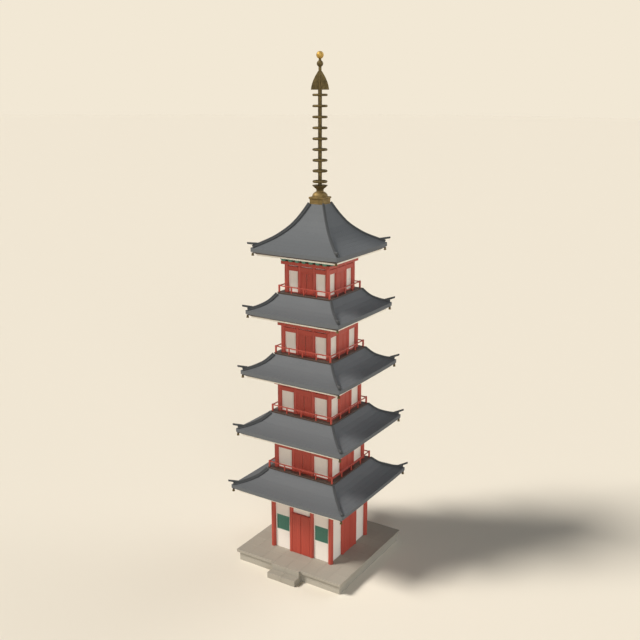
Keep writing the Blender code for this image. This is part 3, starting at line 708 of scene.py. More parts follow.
# Members that run round the storey: how far they reach out and in from the columns' line, and the depths.
RINGS = ((0.10, 0.10, HEAD_BEAM), (0.29, 0.12, FLAT_BEAM), (0.02, 0.08, BLOCKS), (0.42, 0.10, PURLIN))
POST_SLIMMER = 0.03
COLUMN_SIDES = 24
COLUMN_STRAIGHT = 0.6  # of its height, below the taper
COLUMN_TAPER = 0.96
TENON = 0.01  # how far a member reaches into the one above it
BLOCKS_PER_SIDE = 7
BLOCK_WIDE = 0.28
BLOCK_OUT = 0.456
BLOCK_FOOT_IN = 0.04
BLOCK_FOOT_HIGH = 0.09
SILL_HALF = 0.09
SILL_HIGH = 0.04
THRESHOLD_HIGH = 0.08
THRESHOLD_HALF = 0.10
LINTEL_HIGH = 0.08
LINTEL_OUT = 0.13
JAMB_END = 0.07  # short of the post's middle
JAMB_OUT = 0.005  # in front of the leaves
LEAF_HALF = 0.04
PIN_IN = 0.03  # from a leaf's heel to its pin
LEAF_CLEAR = 0.006


def build_columns(storey):
    half, low = storey.half, storey.floor
    high = storey.eave - FLAT_BEAM[0] + TENON
    slim = storey.column_radius - POST_SLIMMER
    front = new_shape()
    for x, thick in ((-half, storey.column_radius), (-storey.post, slim), (storey.post, slim)):
        profile = [(thick, low), (thick, low + COLUMN_STRAIGHT * (high - low)), (thick * COLUMN_TAPER, high)]
        add_turned(front, profile, COLUMN_SIDES, (x, -half))
    finish_piece(f"storey_{storey.number}_columns", four_sided(front), vermilion, bevel=0.006)


def doorway(storey):
    """Threshold, lintel and jambs round a doorway of the ground storey. The jambs stand just clear of
    the leaves' heels."""
    half, post, floor = storey.half, storey.post, storey.floor
    sill, head = floor + THRESHOLD_HIGH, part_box("ground_wall_band")[0].z
    leaf_low, leaf_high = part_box("front_door_right")
    jamb = leaf_high.x - PIN_IN + math.hypot(PIN_IN, (leaf_high.y - leaf_low.y) / 2) + LEAF_CLEAR
    front = new_shape()
    add_box(front, (-post, -half - THRESHOLD_HALF, floor), (post, -half + THRESHOLD_HALF, sill))
    add_box(front, (-post, -half - LINTEL_OUT, head - LINTEL_HIGH), (post, -half + THRESHOLD_HALF, head))
    for side in (-1, 1):
        ends = sorted((side * jamb, side * (post - JAMB_END)))
        add_box(front, (ends[0], leaf_low.y - JAMB_OUT, sill),
                (ends[1], -half + LEAF_HALF, head - LINTEL_HIGH))
    return four_sided(front)


def build_beams(storey):
    half, eave = storey.half, storey.eave
    beams = new_shape()
    for out, back, (low, high) in RINGS:
        add_mitred_ring(beams, half + out, half - back, eave - low, eave - high)
    if storey.number > 1:
        add_mitred_ring(beams, half + SILL_HALF, half - SILL_HALF, storey.floor, storey.floor + SILL_HIGH)
    else:
        add_shape(beams, doorway(storey))
    finish_piece(f"storey_{storey.number}_beams", beams, vermilion, [storey.frame], 0.010)


def build_brackets(storey):
    half, bottom, top = storey.half, storey.eave - BLOCKS[0], storey.eave - BLOCKS[1]
    front, back = -half - BLOCK_OUT, -half - 0.01
    rows = []
    for inset, z in ((BLOCK_FOOT_IN, bottom), (0.0, bottom + BLOCK_FOOT_HIGH), (0.0, top)):
        wide = BLOCK_WIDE / 2 - inset
        rows.append([Vector((-half - wide, front + inset, z)), Vector((-half + wide, front + inset, z)),
                     Vector((-half + wide, back, z)), Vector((-half - wide, back, z))])
    repeat_piece(f"storey_{storey.number}_bracket_blocks", add_skin(new_shape(), rows, along=1), green,
                 BLOCKS_PER_SIDE, 2 * half / (BLOCKS_PER_SIDE - 1), 0.006, seed=storey.number)


for storey in storeys:
    build_columns(storey)
    build_beams(storey)
    build_brackets(storey)
print("with timber:", len(made_pieces))

# %% [markdown]
# ## Doors and windows
#
# A door leaf is upright planks held by battens on the inside, with a fine gap between planks.
# The leaves of the front and the right side turn on pins, so each is a piece of its own that
# rides on its own body. The windows are a row of square bars, set cornerwise, before a board.

# %% Build the doors
PLANKS = 4
PLANK_GAP = 0.002
PLANK_SHARE = 0.62  # of a leaf's thickness
BATTENS_AT = (0.08, 0.46, 0.84)
BATTEN_IN = 0.02
BATTEN_HIGH = 0.16
PIN_RADIUS = 0.022
LEAF_BEVEL = 0.002
SPLIT_IN = 0.014
UPPER_SPLIT = 0.04
UPPER_LINTEL_DEEP = 0.12
UPPER_LINTEL_OUT = 0.06
UPPER_LINTEL_GAP = 0.012
POST_LAP = 0.02  # how far the lintel reaches into a post, past the leaves


def add_leaf(shape, inner, outer, low, high, front, back):
    """One leaf between two places along X: planks at the front and three battens behind them."""
    wide = (outer - inner) / PLANKS
    seam = front + PLANK_SHARE * (back - front)
    for index in range(PLANKS):
        ends = sorted((inner + wide * index, inner + wide * (index + 1)))
        add_box(shape, (ends[0] + PLANK_GAP / 2, front, low), (ends[1] - PLANK_GAP / 2, seam, high))
    ends = sorted((inner, outer))
    for share in BATTENS_AT:
        start = low + share * (high - low)
        add_box(shape, (ends[0] + BATTEN_IN, seam - 2 * HAIR, start),
                (ends[1] - BATTEN_IN, back, start + BATTEN_HIGH))


def ground_leaf(side, quarter):
    """A leaf with its pin: the front right one, mirrored where the side is -1, and turned."""
    low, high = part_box("front_door_right")
    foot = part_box("platform_coping")[1].z + THRESHOLD_HIGH + LEAF_CLEAR
    leaf = new_shape()
    add_leaf(leaf, side * (low.x + SPLIT_IN), side * high.x, foot, high.z - LEAF_CLEAR, low.y, high.y)
    add_turned(leaf, [(PIN_RADIUS, low.z), (PIN_RADIUS, high.z)], 16,
               (side * (high.x - PIN_IN), (low.y + high.y) / 2))
    return turned_shape(leaf, quarter)


def build_upper_doors(storey):
    half, front = storey.half, new_shape()
    edge = storey.post - storey.column_radius + POST_SLIMMER + POST_LAP
    head = storey.eave - HEAD_BEAM[0]
    high = head - UPPER_LINTEL_DEEP
    add_box(front, (-edge, -half - UPPER_LINTEL_OUT, high + UPPER_LINTEL_GAP),
            (edge, -half + LEAF_HALF, head))
    for side in (-1, 1):
        add_leaf(front, side * UPPER_SPLIT / 2, side * (edge - POST_LAP), storey.floor + SILL_HIGH, high,
                 -half - LEAF_HALF, -half + LEAF_HALF)
    finish_piece(f"storey_{storey.number}_doors", four_sided(front), vermilion, bevel=LEAF_BEVEL)


for node, side, quarter in (("front_door_left", -1, 0), ("front_door_right", 1, 0),
                            ("right_door_front", -1, 1), ("right_door_back", 1, 1)):
    finish_piece(node + "_leaf", ground_leaf(side, quarter), vermilion, [node], LEAF_BEVEL, node)
for node, quarter in (("back_doors", 2), ("left_doors", 3)):
    pair = add_shape(ground_leaf(-1, quarter), ground_leaf(1, quarter))
    finish_piece(node + "_leaves", pair, vermilion, [node], LEAF_BEVEL)
for storey in storeys[1:]:
    build_upper_doors(storey)

# %% Build the barred windows
WINDOW_BARS = 11
BAR_HALF = 0.03
BAR_DEEP = 0.003  # how far behind the frame's face its edge stands
RIM = 0.045
BOARD_BACK = 0.045


def build_window(node, backwards):
    """A frame of four boards and a fifth one set back in it, then the bars before that board."""
    low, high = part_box(node)
    face, inside, inward = (high.y, low.y, -1) if backwards else (low.y, high.y, 1)
    x0, x1, z0, z1 = low.x + RIM, high.x - RIM, low.z + RIM, high.z - RIM
    window = new_shape()
    for left, right, bottom, top, front in (
            (low.x, x0, low.z, high.z, face), (x1, high.x, low.z, high.z, face), (x0, x1, low.z, z0, face),
            (x0, x1, z1, high.z, face), (x0, x1, z0, z1, face + inward * BOARD_BACK)):
        ends = sorted((front, inside))
        add_box(window, (left, ends[0], bottom), (right, ends[1], top))
    finish_piece(node + "_frame", window, green, [node], 0.003)
    pitch = (high.x - low.x - 2 * RIM) / WINDOW_BARS
    x, y = x0 + pitch / 2, face + inward * (BAR_HALF + BAR_DEEP)
    corners = ((x - BAR_HALF, y), (x, y - BAR_HALF), (x + BAR_HALF, y), (x, y + BAR_HALF))
    bar = add_skin(new_shape(), [[Vector((*corner, z)) for corner in corners] for z in (z0, z1)])
    repeat_piece(node + "_bars", bar, green, WINDOW_BARS, pitch, 0.0, sides=1, seed=5)


for face in ("front", "back"):
    for hand in ("left", "right"):
        build_window(f"{face}_window_{hand}", backwards=face == "back")
print("with doors and windows:", len(made_pieces))

# %% [markdown]
# ## Roofs
#
# A tiled roof hangs like a slack rope: steep at the top, almost flat at the eave, and lifted a
# little at its corners. A few bends, given as parts of the roof's run and rise, make the slope,
# and an average over a short stretch of the run eases them. The lift grows with the fourth power
# of the distance from the middle. Pan tiles lie in courses that overlap like scales, so the bed
# has a low step at each course. Low cover tiles run up the slope in rolls over the joints of the
# pans. A tree walks along each roll's line, sets every tile to the slope, and repeats the front
# on all sides.

# %% The slope of a roof
EDGE_HIGH = 0.27
CORNER_LIFT = 0.05
ROOF_BENDS = [(0.0, 0.0), (0.18, 0.08), (0.38, 0.18), (0.75, 0.51), (1.0, 1.0)]
TOP_ROOF_BENDS = [(0.0, 0.0), (0.28, 0.145), (0.56, 0.335), (0.88, 0.72), (1.0, 1.0)]
EASING = 0.26
TOP_EASING = 0.40
BED_THICK = 0.30
UNDERSIDE_FLAT = 0.90
UNDERSIDE_LEVEL = 0.22  # from the edge, where it starts to rise with the corner
EDGE_ROUND = 0.01
COURSE_RUN = 0.29
COURSE_STEP = 0.006
ROOF_RIM = 0.35
TOP_HOLE = 0.20
ALONG_POINTS = 16
COURSES_SHARP = 8


def bent_rise(bends, away):
    """Part of the rise at a part of the run, along the straight pieces between the bends."""
    for (near, low), (far, high) in zip(bends, bends[1:]):
        if away <= far:
            break
    return low + (high - low) * (away - near) / (far - near)


def tile_height(storey, half):
    """Height of the tiles at the middle of a side, at a distance from the tower's axis."""
    outer, start = storey.roof_half, storey.eave + EDGE_HIGH
    away = (outer - half) / (outer - storey.seat_half)
    bends, reach = (TOP_ROOF_BENDS, TOP_EASING) if storey.number == STOREYS else (ROOF_BENDS, EASING)
    near_by = [bent_rise(bends, away + reach * step / 8) for step in range(-4, 5)]
    return start + sum(near_by) / len(near_by) * (storey.seat_height - start)


def corner_lift(storey, half, along):
    outward = max(0.0, (half - storey.seat_half) / (storey.roof_half - storey.seat_half))
    return CORNER_LIFT * outward ** 2 * (min(abs(along), half) / half) ** 4


def roof_row(storey, half, height, lifted=1.0):
    """A square loop of points, closer together towards the corners, where the roof bends most."""
    row = []
    for quarter in range(4):
        for step in range(ALONG_POINTS):
            share = 2 * step / ALONG_POINTS - 1
            along = half * (1.5 * share - 0.5 * share ** 3)
            point = Vector((along, -half, height + lifted * corner_lift(storey, half, along)))
            row.append(turned_point(point, quarter))
    return row


def build_tile_bed(storey):
    """A closed skin: from the flat underside out round the edge, up the courses and back underneath."""
    outer, seat, eave, top = storey.roof_half, storey.seat_half, storey.eave, storey.seat_height
    under = outer - UNDERSIDE_FLAT
    rim = seat - ROOF_RIM if storey.number < STOREYS else TOP_HOLE
    rows = [roof_row(storey, under, eave, 0.0), roof_row(storey, outer - UNDERSIDE_LEVEL, eave, 0.0),
            roof_row(storey, outer - EDGE_ROUND, eave + EDGE_ROUND),
            roof_row(storey, outer, eave + 2 * EDGE_ROUND)]
    courses = round((outer - seat) / COURSE_RUN)
    for index in range(courses):
        near, far = [outer + (seat - outer) * end / courses for end in (index, index + 1)]
        rows.append(roof_row(storey, near, tile_height(storey, near) + (COURSE_STEP if index else 0.0)))
        rows.append(roof_row(storey, far, tile_height(storey, far)))
    rows += [roof_row(storey, rim, top, 0.0), roof_row(storey, rim, top - BED_THICK, 0.0)]
    for share in (0.33, 0.67):
        half = rim + (under - rim) * share
        rows.append(roof_row(storey, half, tile_height(storey, half) - BED_THICK, 0.0))
    bed = add_skin(new_shape(), rows, capped=False)
    bed["tone"] = [0.5] * len(bed["points"])
    number = storey.number
    finish_piece(f"roof_{number}_tile_bed", bed, tile, [f"roof_{number}"], sharp=COURSES_SHARP)


for storey in storeys:
    build_tile_bed(storey)

# %% Cover tiles in rolls up the slope
COVER_LONG = 0.30
COVER_LAP = 0.03
COVER_HALF_WIDE = 0.055
COVER_HIGH = 0.012
COVER_SINK = 0.003
COVER_NARROWER = 0.86
ROLL_PITCH = 0.27
ROLL_STEP = 0.12
ROLL_SHORT = 0.01
RIDGE_SIDE = 0.12


def line_mesh(lines):
    """Edges only: each line is a list of points."""
    mesh = bpy.data.meshes.new("lines")
    points, edges = [], []
    for line in lines:
        start = len(points)
        points += [tuple(point) for point in line]
        edges += [(start + index, start + index + 1) for index in range(len(line) - 1)]
    mesh.from_pydata(points, edges, [])
    return mesh


def cover_tile():
    """One low arched tile that starts at the origin and runs along Y, wider at its lower end."""
    turns = [math.pi * step / 6 for step in range(7)]
    rows = [[Vector((-COVER_HALF_WIDE * size * math.cos(turn), y,
                     COVER_HIGH * size * math.sin(turn) - COVER_SINK)) for turn in turns]
            for y, size in ((0.0, 1.0), (COVER_LONG + COVER_LAP, COVER_NARROWER))]
    return mesh_from(add_skin(new_shape(), rows), toned=False)


def make_tile_tree():
    tree, given, result = new_geometry_tree(
        "tiles_up_the_slope", ("Tile", "Object", None), ("Spacing", "Float", 0.3), ("Sides", "Int", 4),
        ("Seed", "Int", 1))
    lines = place(tree, "GeometryNodeMeshToCurve", {0: given["Geometry"]})
    stops = place(tree, "GeometryNodeCurveToPoints", {"Curve": lines, "Length": given["Spacing"]},
                  mode="LENGTH")
    lean = place(tree, "FunctionNodeAlignRotationToVector", {"Vector": stops.outputs["Tangent"]}, axis="Y")
    one_tile = place(tree, "GeometryNodeObjectInfo", {"Object": given["Tile"]}).outputs["Geometry"]
    tiles = copies_on(tree, stops, one_tile, Rotation=lean)
    return finish_tree(tree, on_all_sides(tree, given, with_tones(tree, tiles, given)), given, result)


def shortened(line, cut):
    """The line without its last stretch, so that a tile set at its new end reaches the old one."""
    while len(line) > 1:
        last = (line[-1] - line[-2]).length
        if last > cut:
            line[-1] = line[-1].lerp(line[-2], cut / last)
            return line
        cut -= last
        line.pop()
    return None


def roll_line(storey, x):
    """The line of one roll on the front slope, from the eave to the ridge or the seat."""
    outer = storey.roof_half
    end = max(storey.seat_half, abs(x) + RIDGE_SIDE) + ROLL_SHORT
    if end > outer - 2 * COVER_LONG:
        return None
    steps = max(2, round((outer - end) / ROLL_STEP))
    line = []
    for step in range(steps + 1):
        half = outer + (end - outer) * step / steps
        line.append(Vector((x, -half, tile_height(storey, half) + corner_lift(storey, half, x))))
    return shortened(line, COVER_LONG)


def build_cover_tiles(storey):
    outer, number = storey.roof_half, storey.number
    rolls = round(2 * outer / ROLL_PITCH)
    pitch = 2 * outer / rolls
    lines = [roll_line(storey, -outer + pitch * (index + 0.5)) for index in range(rolls)]
    lines = [line for line in lines if line]
    mesh = grown(TILES, line_mesh(lines), {"Tile": one_cover, "Spacing": COVER_LONG, "Sides": 4,
                                           "Seed": number, "Material": tile})
    finish_piece(f"roof_{number}_cover_tiles", mesh, tile)
    return len(lines)


TILES = make_tile_tree()
one_cover = link_object("one_cover_tile", cover_tile())
print("rolls on a side:", [build_cover_tiles(storey) for storey in storeys])
bpy.data.objects.remove(one_cover)

# %% [markdown]
# ## Ridges and horns
#
# A ridge of stacked flat tiles runs down each hip, closed on top by round tiles, and covers the
# cut ends of the rolls. It follows a path, so a tree sweeps its section along the hip: three flat
# layers, each a little narrower, and a round cap. At its foot a straight horn tile rises outwards.

# %% Sweep the ridges
RIDGE_HIGH = 0.17
RIDGE_WIDE = 0.26
RIDGE_END = 0.10
RIDGE_LAYERS = 3
RIDGE_STEPS = 14
LAYER_SHARE = 0.27  # of the ridge's height
LAYER_STEP = 0.98  # of a layer's height
LAYER_NARROWER = 0.10
RIDGE_LIFT = 0.01
CAP_AT = 0.73


def moved(tree, geometry, rotation=(0, 0, 0), **offset):
    shift = place(tree, "ShaderNodeCombineXYZ", offset)
    return place(tree, "GeometryNodeTransform",
                 {"Geometry": geometry, "Translation": shift, "Rotation": rotation})


def joined(tree, *parts):
    whole = place(tree, "GeometryNodeJoinGeometry")
    for part in parts:
        tree.links.new(part.outputs[0], whole.inputs[0])
    return whole


def make_ridge_tree():
    tree, given, result = new_geometry_tree(
        "ridge_along_the_hip", ("Width", "Float", 0.3), ("Height", "Float", 0.2), ("Sides", "Int", 4))
    path = place(tree, "GeometryNodeMeshToCurve", {0: given["Geometry"]})
    upright = place(tree, "GeometryNodeSetCurveNormal", {"Curve": path}, mode="Z_UP")
    layer_high = maths(tree, "MULTIPLY", given["Height"], LAYER_SHARE)
    parts = []
    for layer in range(RIDGE_LAYERS):
        wide = maths(tree, "MULTIPLY", given["Width"], 1.0 - LAYER_NARROWER * layer)
        flat = place(tree, "GeometryNodeCurvePrimitiveQuadrilateral", {"Width": layer_high, "Height": wide})
        parts.append(moved(tree, flat, X=maths(tree, "MULTIPLY", layer_high, layer * LAYER_STEP)))
    cap = place(tree, "GeometryNodeCurvePrimitiveCircle", {"Resolution": 12, "Radius": layer_high})
    parts.append(moved(tree, cap, X=maths(tree, "MULTIPLY", given["Height"], CAP_AT)))
    swept = place(tree, "GeometryNodeCurveToMesh",
                  {"Curve": upright, "Profile Curve": joined(tree, *parts), "Fill Caps": True})
    return finish_tree(tree, on_all_sides(tree, given, swept), given, result)


def build_ridges(storey):
    outer = storey.roof_half
    line = []
    for step in range(RIDGE_STEPS + 1):
        half = outer - RIDGE_END + (storey.seat_half - outer + RIDGE_END) * step / RIDGE_STEPS
        height = tile_height(storey, half) + corner_lift(storey, half, half)
        line.append(Vector((-half, -half, height + RIDGE_LIFT)))
    mesh = grown(RIDGE, line_mesh([line]), {"Width": RIDGE_WIDE, "Height": RIDGE_HIGH, "Sides": 4,
                                            "Material": ridge_tile_painted_shade})
    finish_piece(f"roof_{storey.number}_ridges", mesh, ridge_tile_painted_shade)


RIDGE = make_ridge_tree()
for storey in storeys:
    build_ridges(storey)

# %% Shape the horn tiles
HORN_BACK = 0.34
HORN_OUT = 0.158
HORN_TIP_HIGH = 0.725
HORN_HIGH = 0.15
HORN_WIDE = 0.14
HORN_TAPER = 0.14
# Each section of a horn: part of its length, and its size.
HORN_SECTIONS = ((0.0, 1.0), (0.5, 1.0 - HORN_TAPER / 2), (0.97, 1.0 - HORN_TAPER), (1.0, 0.55))
HORN_FULLER = 1.08  # the eight-sided section stands a little outside its height and width


def build_horns(storey):
    """A bar with an eight-sided section that tapers a little towards its rounded tip."""
    back, tip = storey.roof_half - HORN_BACK, storey.roof_half + HORN_OUT
    back_high = tile_height(storey, back) + corner_lift(storey, back, back) + RIDGE_HIGH
    tip_high = storey.eave + HORN_TIP_HIGH
    aside = Vector((1, -1, 0)).normalized()
    turns = [math.radians(22.5 + 45 * step) for step in range(8)]
    rows = []
    for share, size in HORN_SECTIONS:
        half = back + (tip - back) * share
        high, wide = HORN_HIGH * size, HORN_WIDE * size
        top = back_high + (tip_high - back_high) * share - (HORN_HIGH - high) * 0.25
        centre = Vector((-half, -half, top - high / 2))
        rows.append([centre + HORN_FULLER * (aside * wide / 2 * math.cos(turn)
                                             + Vector((0, 0, high / 2 * math.sin(turn)))) for turn in turns])
    horns = four_sided(add_skin(new_shape(), rows))
    finish_piece(f"roof_{storey.number}_horns", horns, ridge_tile_painted_shade)


for storey in storeys:
    build_horns(storey)
print("with roofs:", len(made_pieces))

# %% [markdown]
# ## Under the eaves
#
# From the outside only the edge shows: a dark fascia under the tiles and below it a cream board
# in two steps, set back so that the roof's corner stands free. Underneath lie cream soffit
# boards on red rafters, which run out from the wall over the purlin and stop short of the edge
# board. A beam along each diagonal carries the corner, and a wind bell hangs at its end.

# %% Build the eaves
FASCIA_INSET = 0.22
FASCIA_WIDE = 0.12
FASCIA_LOW = 0.10
EDGE_BOARD_STEPS = ((0.27, 0.16, FASCIA_LOW), (0.30, 0.22, 0.16))  # inset, depths of underside and top
EDGE_BOARD_WIDE = 0.16
SOFFIT_INSET = 0.35
SOFFIT_LOW = 0.12
RAFTER_PITCH = 0.30
RAFTER_WIDE = 0.10
RAFTER_SHORT = 0.50
RAFTER_START = 0.12  # out from the columns' line
RAFTER_CORNER = 0.20  # from the first rafter to the corner of the square that all of them end on
BELL_IN = 0.10
BELL_RADIUS = 0.10
BELL_TOP = 0.03
# Each step of a bell's profile: part of its radius, and depth below its top.
BELL_STEPS = ((1.0, 0.17), (0.88, 0.145), (0.80, 0.09), (0.74, 0.05), (0.45, 0.018), (0.2, 0.01), (0.2, 0.0))


def build_soffit(storey):
    """The boards over the rafters, and the stepped edge board with the fascia above it."""
    outer, eave, number = storey.roof_half, storey.eave, storey.number
    soffit = add_slab(new_shape(), outer - SOFFIT_INSET, eave - SOFFIT_LOW, eave - HAIR)
    for inset, low, high in EDGE_BOARD_STEPS:
        edge = outer - inset
        add_mitred_ring(soffit, edge, edge - EDGE_BOARD_WIDE, eave - low, eave - high - 2 * HAIR)
    finish_piece(f"eave_{number}_soffit", soffit, cream, [f"eave_board_{number}"], 0.005)
    fascia, face = new_shape(), outer - FASCIA_INSET
    add_mitred_ring(fascia, face, face - FASCIA_WIDE, eave - FASCIA_LOW, eave - 2 * HAIR)
    finish_piece(f"eave_{number}_fascia", fascia, brown, bevel=0.005)


def build_rafters(storey):
    end, start = storey.roof_half - RAFTER_SHORT, storey.half + RAFTER_START
    side = 2 * (end - RAFTER_CORNER)
    count = round(side / RAFTER_PITCH)
    first = -side / 2
    rafter = add_box(new_shape(), (first - RAFTER_WIDE / 2, -end, storey.eave - PURLIN[1]),
                     (first + RAFTER_WIDE / 2, -start, storey.eave - SOFFIT_LOW + 2 * HAIR))
    repeat_piece(f"eave_{storey.number}_rafters", rafter, vermilion, count + 1, side / count, 0.006,
                 seed=storey.number)


def along_the_hip(shape):
    """The shape, laid along +X, turned to lie under the front left hip."""
    cos, sin = math.cos(-math.pi * 3 / 4), math.sin(-math.pi * 3 / 4)
    shape["points"] = [Vector((cos * p.x - sin * p.y, sin * p.x + cos * p.y, p.z)) for p in shape["points"]]
    return shape


def build_corners(storey):
    """The diagonal beams, each with a short one above it that reaches the roof's corner, and the bells."""
    outer, eave = storey.roof_half, storey.eave
    beam, root = new_shape(), math.sqrt(2)
    for start, end, half_wide, low, high in ((storey.half + 0.3, outer - 0.36, 0.08, 0.215, 0.11),
                                             (outer - 0.45, outer - 0.05, 0.055, 0.05, 0.002)):
        add_box(beam, (start * root, -half_wide, eave - low), (end * root, half_wide, eave - high))
    beams = four_sided(along_the_hip(beam))
    finish_piece(f"eave_{storey.number}_corner_beams", beams, brown, bevel=0.006)
    spot, top = outer - BELL_IN, eave - BELL_TOP
    profile = [(BELL_RADIUS * width, top - drop) for width, drop in BELL_STEPS]
    bells = four_sided(add_turned(new_shape(), profile, 20, (-spot, -spot)))
    finish_piece(f"eave_{storey.number}_wind_bells", bells, dark_bronze)


for storey in storeys:
    build_soffit(storey)
    build_rafters(storey)
    build_corners(storey)
print("with eaves:", len(made_pieces))

# %% [markdown]
# ## Balconies
#
# Each upper storey stands on a floor that reaches out past its walls. Planks run outwards, in
# a pinwheel that fills the corners, and an edge beam closes them. The railing is one bar on thin
# posts, four bays to a side, with stouter posts at the corners.

# %% Build the balconies
PLANK_WIDE = 0.18
PLANK_THICK = 0.05
FLOOR_GAP = 0.004
FLOOR_IN = 0.08  # behind the columns' line
EDGE_BEAM = (0.025, 0.16)  # its faces, in from the floor's edge
RAIL_HIGH = 0.47
RAIL_INSET = 0.10
RAIL_HALF = 0.034
RAIL_POST_HALF = 0.038
RAIL_CORNER_HALF = 0.052
RAIL_CORNER_OVER = 0.03
RAIL_BAYS = 4


def build_balcony_floor(storey):
    ledge, top, number = storey.ledge, storey.floor, storey.number
    deep = ledge - storey.half + FLOOR_IN
    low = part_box(f"balcony_{number}_floor")[0].z
    count = round((2 * ledge - deep) / PLANK_WIDE)
    pitch = (2 * ledge - deep) / count
    plank = add_box(new_shape(), (-ledge, -ledge, top - PLANK_THICK),
                    (-ledge + pitch - FLOOR_GAP, -ledge + deep, top))
    repeat_piece(f"balcony_{number}_planks", plank, brown, count, pitch, 0.004, [f"balcony_{number}_floor"],
                 seed=20 + number)
    base = new_shape()
    add_mitred_ring(base, ledge - EDGE_BEAM[0], ledge - EDGE_BEAM[1], low, top - PLANK_THICK - HAIR)
    add_slab(base, ledge - deep + 0.01, low, top - FLOOR_GAP)
    finish_piece(f"balcony_{number}_edge_beams", base, brown, bevel=0.008)


def build_railing(storey):
    top, number = storey.floor, storey.number
    line, bar_low = storey.ledge - RAIL_INSET, top + RAIL_HIGH - 2 * RAIL_HALF
    railing, front = new_shape(), new_shape()
    add_mitred_ring(railing, line + RAIL_HALF, line - RAIL_HALF, bar_low, top + RAIL_HIGH)
    for index in range(RAIL_BAYS):
        x = -line + 2 * line * index / RAIL_BAYS
        half = RAIL_POST_HALF if index else RAIL_CORNER_HALF
        high = bar_low + TENON if index else top + RAIL_HIGH + RAIL_CORNER_OVER
        add_box(front, (x - half, -line - half, top), (x + half, -line + half, high))
    add_shape(railing, four_sided(front))
    finish_piece(f"balcony_{number}_railing", railing, vermilion, [f"balcony_{number}_rail"], 0.008)


for storey in storeys[1:]:
    build_balcony_floor(storey)
    build_railing(storey)
print("with balconies:", len(made_pieces))

# %% [markdown]
# ## Spire
#
# The spire is cast bronze threaded on a mast: a square box on the roof's top, a dome, a lotus cup,
# nine rings, a flame of thin plates and two balls. The turned parts are profiles spun round
# the axis. The rings repeat at an even pitch, each a hoop on spokes, so a tree makes them from
# two circles and a bar. Only the top ball is gilded.

# %% Turn the base, dome and lotus cup
SPIRE_SIDES = 48
BASE_FOOT = 0.07
BASE_NECK = 0.14
BASE_CAP = 0.11
DOME_FOOT = 0.03
DOME_LIP = 0.012
DOME_TOP_RADIUS = 0.24
LOTUS_PETALS = 16
LOTUS_HIGH = 0.38
PETAL_CUT = 0.06
# Each row of the cup: its radius, its rise, and how much of the petals' shape it has.
LOTUS_ROWS = [(0.22, 0.0, 0.0), (0.25, 0.03, 0.0), (0.24, 0.08, 0.0), (0.30, 0.16, 0.4), (0.40, 0.24, 0.8),
              (0.49, 0.33, 1.0), (0.52, 0.38, 1.0), (0.47, 0.375, 0.6), (0.30, 0.30, 0.0), (0.12, 0.28, 0.0)]


def arc(radius, centre, rise, first, last, steps):
    """Points of a profile on an arc between two angles, in degrees: a round one, or one of that rise."""
    turns = [math.radians(first + (last - first) * step / steps) for step in range(steps + 1)]
    return [(radius * math.cos(turn), centre + rise * math.sin(turn)) for turn in turns]


def build_spire_base():
    low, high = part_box("spire_base_box")
    half = high.x - BASE_LIP
    box = new_shape()
    heights = (low.z, low.z + BASE_FOOT, high.z - BASE_NECK, high.z - BASE_CAP, high.z)
    for size, z0, z1 in zip((half + 0.02, half, half + 0.025, high.x), heights, heights[1:]):
        add_slab(box, size, z0, z1)
    finish_piece("spire_base", box, bronze, ["spire_base_box"], 0.010)
    low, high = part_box("spire_dome")
    start = low.z + DOME_FOOT
    profile = [(high.x, low.z), (high.x, start),
               *arc(high.x - DOME_LIP, start, high.z - start, 0, 62, 10), (DOME_TOP_RADIUS, high.z)]
    dome = add_turned(new_shape(), profile, SPIRE_SIDES)
    finish_piece("spire_dome_bowl", dome, bronze, ["spire_dome"])


def build_lotus():
    """The cup, with sixteen petals round its rim: its edge and flank swell at each petal's middle."""
    low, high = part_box("spire_lotus")
    sides = LOTUS_PETALS * 6
    rows = []
    for radius, rise, petal in LOTUS_ROWS:
        row = []
        for step in range(sides):
            turn = 2 * math.pi * step / sides
            swell = 1 - PETAL_CUT * petal * (1 - abs(math.sin(LOTUS_PETALS * turn / 2)))
            row.append(Vector((radius * swell * math.cos(turn), radius * swell * math.sin(turn),
                               low.z + rise / LOTUS_HIGH * (high.z - low.z))))
        rows.append(row)
    finish_piece("spire_lotus_cup", add_skin(new_shape(), rows), dark_bronze, ["spire_lotus"])


build_spire_base()
build_lotus()

# %% Grow the nine rings
RING_COUNT = 9
RING_FIRST = 27.38
RING_PITCH = 0.695
RING_RADIUS = 0.425
RING_TUBE = 0.078
RING_SPOKES = 8
SPOKE_SHARE = 0.26  # of the tube's radius
MAST_RADIUS = 0.13
COLLAR_OUT = 0.018
COLLAR_HALF = 0.045
COLLAR_FOOT = 0.06  # half its height where it meets the pole


